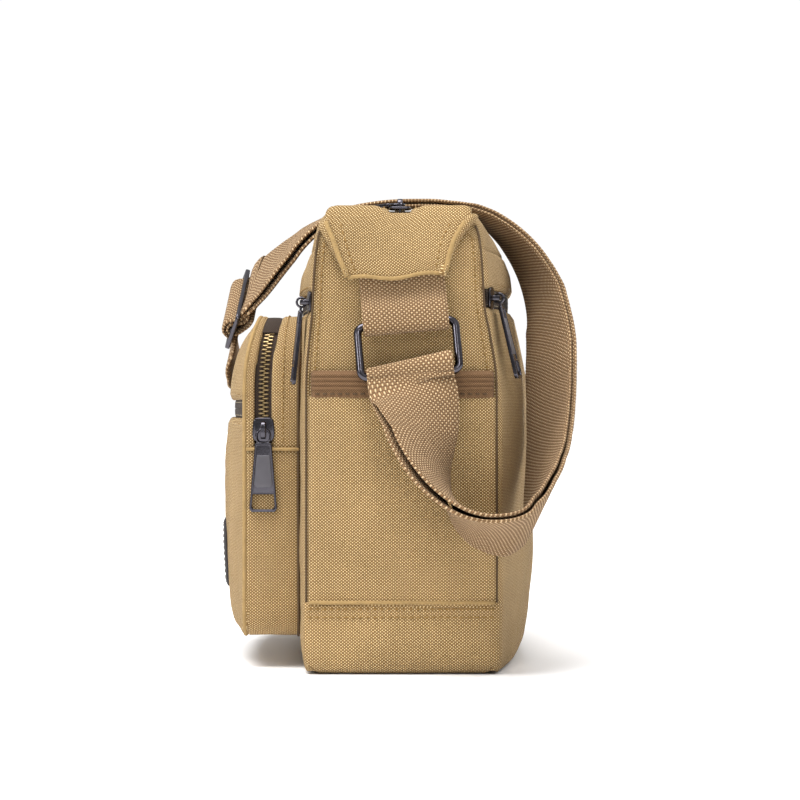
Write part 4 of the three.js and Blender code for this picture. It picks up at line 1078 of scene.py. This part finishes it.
def patch_surface(s, t):
    z = 32 + 32 * t
    x = -26 + 52 * s
    share = (z - 32) / 20
    bulge = 12 + 1.2 * min(share, 1.0) + 0.1 * max(0.0, share - 1)
    return V(x, -face_depth(bulge, x) - 1.6, z)


def patch_border(lift):
    corners = ((0.05, 0.08), (0.95, 0.08), (0.95, 0.92), (0.05, 0.92), (0.05, 0.08))
    line = []
    for (s0, t0), (s1, t1) in zip(corners, corners[1:]):
        line += [patch_surface(s0 + (s1 - s0) * k, t0 + (t1 - t0) * k) for k in spread(0, 1, 12)]
    return [p - V(0, lift, 0) for p in line]


cloth("leather_patch_piece", patch_surface, (30, 20), 1.4, POCKET_INSIDE, LEATHER, size=0.2, edge=1.2,
      drop=0.7, slot="leather", replaces=["leather_patch"])
stitches("leather_patch_stitches", patch_border(0.05), V(0, -1, 0), DARK_THREAD_AND_SHADE, 2.8, 2, 0.3,
         slot="leather")


# ---------------- zips
PULL_LENGTH = 36.5
TOOTH_PITCH = 1.9
STITCH_ROW = 6.6         # from a curved zip's middle to the stitching beside it


def curved_frames(side, middle, end, reach, half, z, steps=120):
    """Frames of a zip on an arc that is middle deep at x = 0 and end deep at x = reach, and its radius."""
    bulge = middle - end
    radius = (reach ** 2 + bulge ** 2) / (2 * bulge)
    frames = []
    for x in spread(-half, half, steps):
        rise = math.sqrt(radius ** 2 - x ** 2)
        outward = V(x / radius, side * rise / radius, 0)
        frames.append((V(x, side * (middle - radius + rise), z), outward, V(0, 0, 1)))
    return frames, radius


def zip_halves(frames, nodes, half=9.0, turned=False):
    """Two tapes with interlocked teeth along (origin, outward, across) frames. A turned zip shows
    the smooth backs of its tapes, each with a pale line of stitching along its coil."""
    run = lengths_along([f[0] for f in frames])
    tape = [(0.4, 0.8), (0.4, half), (-0.4, half), (-0.4, 0.8)]
    tooth, sink, finish, slot = rounded(1.1, 1.5, 0.5, 1), 0, BRASS, "gunmetal"
    if turned:
        tape = [(1.4, 0.1), (1.5, 0.6), (1.4, 2.8), (1, 4), (0.4, 5), (0.4, half), (-0.4, half),
                (-0.4, 0.8), (0.7, 0.1)]
        tooth, sink, finish, slot = rounded(0.8, 1.5, 0.5, 1), -0.35, COIL, "zip_tape"
    for side, node in zip((-1, 1), nodes):
        gather(f"{node}_tape", [sweep(frames, [(a, side * b) for a, b in tape])], TAPE, slot="zip_tape",
               replaces=[node], sharp=50)
        if turned:
            line = [o + a * 1.25 + b * side * 2.9 for o, a, b in frames]
            stitches(f"{node}_line", line, frames[len(frames) // 2][1], PALE_THREAD, 1.6, 1.5, 0.22,
                     slot="zip_tape")
        teeth = []
        for i in range(int(run[-1] / TOOTH_PITCH) - 1):
            k, share = span_at(run, (i + (0.75 if side > 0 else 1.25)) * TOOTH_PITCH)
            o, a, b = (frames[k][j].lerp(frames[k + 1][j], share) for j in range(3))
            along = a.cross(b).normalized()
            rings = [(o + along * t + b * side * 0.9 + a * sink, a * w, b * w)
                     for t, w in ((-0.42, 0.7), (-0.26, 1), (0.26, 1), (0.42, 0.7))]
            teeth.append(sweep(rings, tooth))
        gather(f"{node}_teeth", teeth, finish, slot=slot, sharp=35)


def slider_part():
    """A slider whose travel is along X and outside towards Z."""
    outline = softened(((-5.5, -3.2), (-3.5, -4.9), (0.5, -5.1), (5.5, -4.2), (5.5, 4.2), (0.5, 5.1),
                        (-3.5, 4.9), (-5.5, 3.2)), 1.6)
    parts = [moved(plate(outline, 0.6, 0.4), Matrix.Translation(V(0, 0, z))) for z in (2, -2)]
    parts.append(moved(plate(rounded(1.3, 0.5, 0.3), 1.7, 0.1), Matrix.Translation(V(3.2, 0, 0))))
    bends = ((-3.4, 0, 2.2), (-3.3, 0, 4.4), (-2.3, 0, 5.5), (0, 0, 5.7), (2.3, 0, 5.5), (3.3, 0, 4.4),
             (3.4, 0, 2.2))
    bridge = [row_at(bends, i / 24) for i in range(25)]
    parts.append(sweep(frames_along(bridge, V(1, 0, 0)), rounded(0.55, 1.15, 0.45, 3)))
    return parts


def taper(top, top_half, foot_half, foot):
    return [(-top_half, top), (top_half, top), (foot_half, foot + 1.4), (foot_half - 0.9, foot),
            (0.9 - foot_half, foot), (-foot_half, foot + 1.4)]


def pull_parts(cross):
    """A pull plate hanging along -Z from its eye at the origin: the plate, then its inset."""
    upright = Matrix.Rotation(math.pi / 2, 4, "X")
    top = -3.6 if cross else -5.6
    outer = softened(taper(top, 3.7, 6.2, -PULL_LENGTH), 1.2)
    inner = softened(taper(top - 1.3, 2.8, 5.1, 1.2 - PULL_LENGTH), 0.8)
    window = softened([(-5.1, -35.3), (5.1, -35.3), (4.9, -28.6), (-4.9, -28.6)], 0.7)
    crossbar = softened([(-5.6, -28.6), (5.6, -28.6), (5.5, -27.5), (-5.5, -27.5)], 0.3)
    plates = [plate(outer, 0.45, 0.2, [window]), plate(outer, 0.85, 0.3, [inner]), plate(crossbar, 0.85, 0.3)]
    metal_parts = [moved(part, upright) for part in plates]
    if cross:
        ring = [V(0, 2.05 * math.cos(a), 2.05 * math.sin(a)) for a in spread(0, 2 * math.pi, 24)[:-1]]
        metal_parts.append(sweep(frames_along(ring, V(1, 0, 0), True), circle(0.55), True))
        neck = frames_along([V(0, 0, -2.1), V(0, 0, -4.2)], V(1, 0, 0))
        metal_parts.append(sweep(neck, rounded(1.1, 0.5, 0.3, 3)))
    else:
        loop = [V(x, 0, z - 2.9) for x, z in rounded(3.1, 3.4, 3, 6)]
        metal_parts.append(sweep(frames_along(loop, V(0, 1, 0), True), circle(0.5), True))
    inset = softened(taper(top - 5.6, 2.9, 4.1, -25.6), 0.5)
    inset_part = moved(plate(inset, 0.75, 0.25), upright)
    return metal_parts, [inset_part]


SLIDER = slider_part()
CROSS_PULL, INLINE_PULL = pull_parts(True), pull_parts(False)


def place_slider(name, slider_place, pull, pull_place):
    for piece_name, body, parts, place, finish in (
            ("slider_body", "slider", SLIDER, slider_place, GUNMETAL),
            ("pull_plate", "pull", pull[0], pull_place, GUNMETAL),
            ("pull_inset", "pull", pull[1], pull_place, STEEL)):
        replaced = {} if piece_name == "pull_inset" else {"replaces": [f"{name}_{body}"]}
        gather(f"{name}_{piece_name}", [moved(part, place) for part in parts], finish, body=f"{name}_{body}",
               slot="gunmetal", sharp=40, **replaced)


def frame_at(travel, outward, origin):
    return basis(travel, outward.cross(travel), outward, origin)


# Curved zips, on the walls and the pocket's face: name, side, depths at mid-length and at reach,
# reach, half length, height, the slider's x, the pull's tilt, and how far out the stitching lies.
CURVED_ZIPS = (
    ("back_zip", 1, 50.4, 34.9, 130, 122, 165, 115, 14, 2.75),
    ("front_zip", -1, 45.0, 36.6, 130, 127, 163, 120, 6, 2.75),
    ("face_zip", -1, 77.4, 67.7, 105, 99, 116, -91, 4, 2.35),
)
Z_AXIS = V(0, 0, 1)
for name, side, middle, end, reach, half, z, x, tilt, proud in CURVED_ZIPS:
    frames, radius = curved_frames(side, middle, end, reach, half, z)
    zip_halves(frames, (f"{name}_lower_half", f"{name}_upper_half"), turned=True)
    angle = math.asin(x / radius)
    outward = V(math.sin(angle), side * math.cos(angle), 0)
    travel = V(math.cos(angle), -side * math.sin(angle), 0)
    middle_point = V(0, side * (middle - radius), z)
    hang = basis(travel, Z_AXIS.cross(travel), Z_AXIS, middle_point + outward * (radius + 5.6))
    place_slider(name, frame_at(travel, outward, middle_point + outward * radius), CROSS_PULL,
                 hang @ Matrix.Rotation(math.radians(side * tilt), 4, "X"))
    for edge, dz in (("upper", STITCH_ROW), ("lower", -STITCH_ROW)):
        line = [V(o.x, o.y, z + dz) + a * proud for o, a, b in frames[3:-3]]
        stitches(f"{name}_{edge}_stitches", line, lambda p, side=side: V(0, side, 0))

TOP_ZIP_Z, TOP_ZIP_HALF, TOP_SLIDER_X = 202.6, 121.5, 115.5
zip_halves([(V(x, 0, TOP_ZIP_Z), Z_AXIS, V(0, 1, 0)) for x in spread(-TOP_ZIP_HALF, TOP_ZIP_HALF, 60)],
           ("top_zip_front_half", "top_zip_back_half"))
top_pull = (Matrix.Translation(V(TOP_SLIDER_X, 0, TOP_ZIP_Z + 3.8))
            @ Matrix.Rotation(math.radians(24), 4, "Z")
            @ Matrix.Rotation(math.pi / 2, 4, "Y") @ Matrix.Rotation(math.pi / 2, 4, "Z"))
place_slider("top_zip", frame_at(V(1, 0, 0), Z_AXIS, V(TOP_SLIDER_X, 0, TOP_ZIP_Z)), INLINE_PULL, top_pull)
for edge, y in (("front", -7), ("back", 7)):
    stitches(f"top_zip_{edge}_stitches", [V(x, y, 205.1) for x in spread(-119, 119, 60)], Z_AXIS)

U_INSET, U_SLIDER_Z = 2.3, 106.6
u_path = arch(U_INSET, SEAM_Z + 0.3)
u_frames = []
for p in u_path:
    away = V(math.copysign(max(0, abs(p.x) - POCKET_HALF + POCKET_CORNER), p.x), 0,
             max(0, p.z - POCKET_TOP + POCKET_CORNER)).normalized()
    u_frames.append((V(p.x, settle(p.z) * 0.7 - POCKET_ZIP_Y, p.z), away, V(0, 1, 0)))
zip_halves(u_frames, ("pocket_zip_outer_half", "pocket_zip_inner_half"), 6.8)
# Plain tape that covers the chain along the pocket's top.
guard = [(1.3, -4), (1.7, -2.6), (1.8, 0), (1.7, 2.6), (1.3, 4), (1, 4), (1, -4)]
covered = [f for f in u_frames if f[0].z > 149]
gather("pocket_zip_top_guard", [sweep(covered, guard)], TAPE, slot="zip_tape", sharp=50)
u_at = V(POCKET_HALF - U_INSET, -POCKET_ZIP_Y, U_SLIDER_Z)
u_pull = Matrix.Translation(u_at + V(3.8, 0, 0)) @ Matrix.Rotation(math.pi / 2, 4, "Z")
place_slider("pocket_zip", frame_at(Z_AXIS, V(1, 0, 0), u_at), INLINE_PULL, u_pull)


# ---------------- carried-over CAD parts
for node, finish in (("main_lining", LINING), ("back_pocket_bag", LINING), ("front_pocket_bag", LINING),
                     ("inner_slip_pocket", LINING), ("base_board", BOARD)):
    mesh = frame["nodes"][node].data
    mesh.materials.clear()
    mesh.materials.append(finish)


# ---------------- floor and light
floor_finish = Nodes("floor")
floor_tone = floor_finish.mix(floor_finish.noise(3, 2.0), (0.93, 0.93, 0.94), (0.96, 0.96, 0.96))
floor_finish.finish(floor_tone, floor_finish.noise(60, 2.0), 0.00001, Roughness=0.35,
                    Specular_IOR_Level=0.12)
floor_mesh = bpy.data.meshes.new("floor")
floor_mesh.from_pydata([(-9, -9, 0), (9, -9, 0), (9, 9, 0), (-9, 9, 0)], [], [(0, 1, 2, 3)])
floor_mesh.materials.append(floor_finish.material)
floor = bpy.data.objects.new("floor", floor_mesh)
scene.collection.objects.link(floor)
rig.stage(floor)

# The camera sees a plain white backdrop. What lights the bag and is mirrored in its metal is bright
# overhead and dimmer low down.
BACKDROP, LOW_SKY, HIGH_SKY = 1.02, 0.14, 1.05
world = bpy.data.worlds.new("studio")
world.use_nodes = True
scene.world = world
sky = world.node_tree
backdrop = sky.nodes["Background"]
softbox = sky.nodes.new("ShaderNodeBackground")
height = sky.nodes.new("ShaderNodeSeparateXYZ")
tone = sky.nodes.new("ShaderNodeMapRange")
choice = sky.nodes.new("ShaderNodeMixShader")
backdrop.inputs["Color"].default_value = softbox.inputs["Color"].default_value = (1, 1, 1, 1)
backdrop.inputs["Strength"].default_value = BACKDROP
for socket, value in (("From Min", -0.2), ("From Max", 0.95), ("To Min", LOW_SKY), ("To Max", HIGH_SKY)):
    tone.inputs[socket].default_value = value
for a, b in ((sky.nodes.new("ShaderNodeTexCoord").outputs["Generated"], height.inputs[0]),
             (height.outputs["Z"], tone.inputs["Value"]), (tone.outputs[0], softbox.inputs["Strength"]),
             (sky.nodes.new("ShaderNodeLightPath").outputs["Is Camera Ray"], choice.inputs[0]),
             (softbox.outputs[0], choice.inputs[1]), (backdrop.outputs[0], choice.inputs[2]),
             (choice.outputs[0], sky.nodes["World Output"].inputs[0])):
    sky.links.new(a, b)
scene.view_settings.view_transform = "Standard"


def light(name, kind, place, power, size):
    """A soft lamp aimed at the bag."""
    lamp = bpy.data.lights.new(name, kind)
    lamp.energy = power
    if kind == "AREA":
        lamp.size = size
    else:
        lamp.angle = size
    holder = bpy.data.objects.new(name, lamp)
    holder.location = place
    holder.rotation_euler = (Vector(place) - V(0.05, 0, 0.12)).to_track_quat("Z", "Y").to_euler()
    scene.collection.objects.link(holder)


light("overhead", "SUN", (0.32, -0.25, 1.2), 5.2, 0.8)
light("front_box", "AREA", (1.1, -1.2, 0.7), 6, 0.3)
light("camera_box", "AREA", (1.7, 0.4, 0.9), 5, 0.25)
light("back_box", "AREA", (-0.9, 1.3, 0.9), 7, 0.8)

with open("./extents.json", "w") as out:
    json.dump({name: [[float(x) for x in corner] for corner in box]
               for name, box in (("cad", cad_box), ("visual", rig.bounds()))}, out)
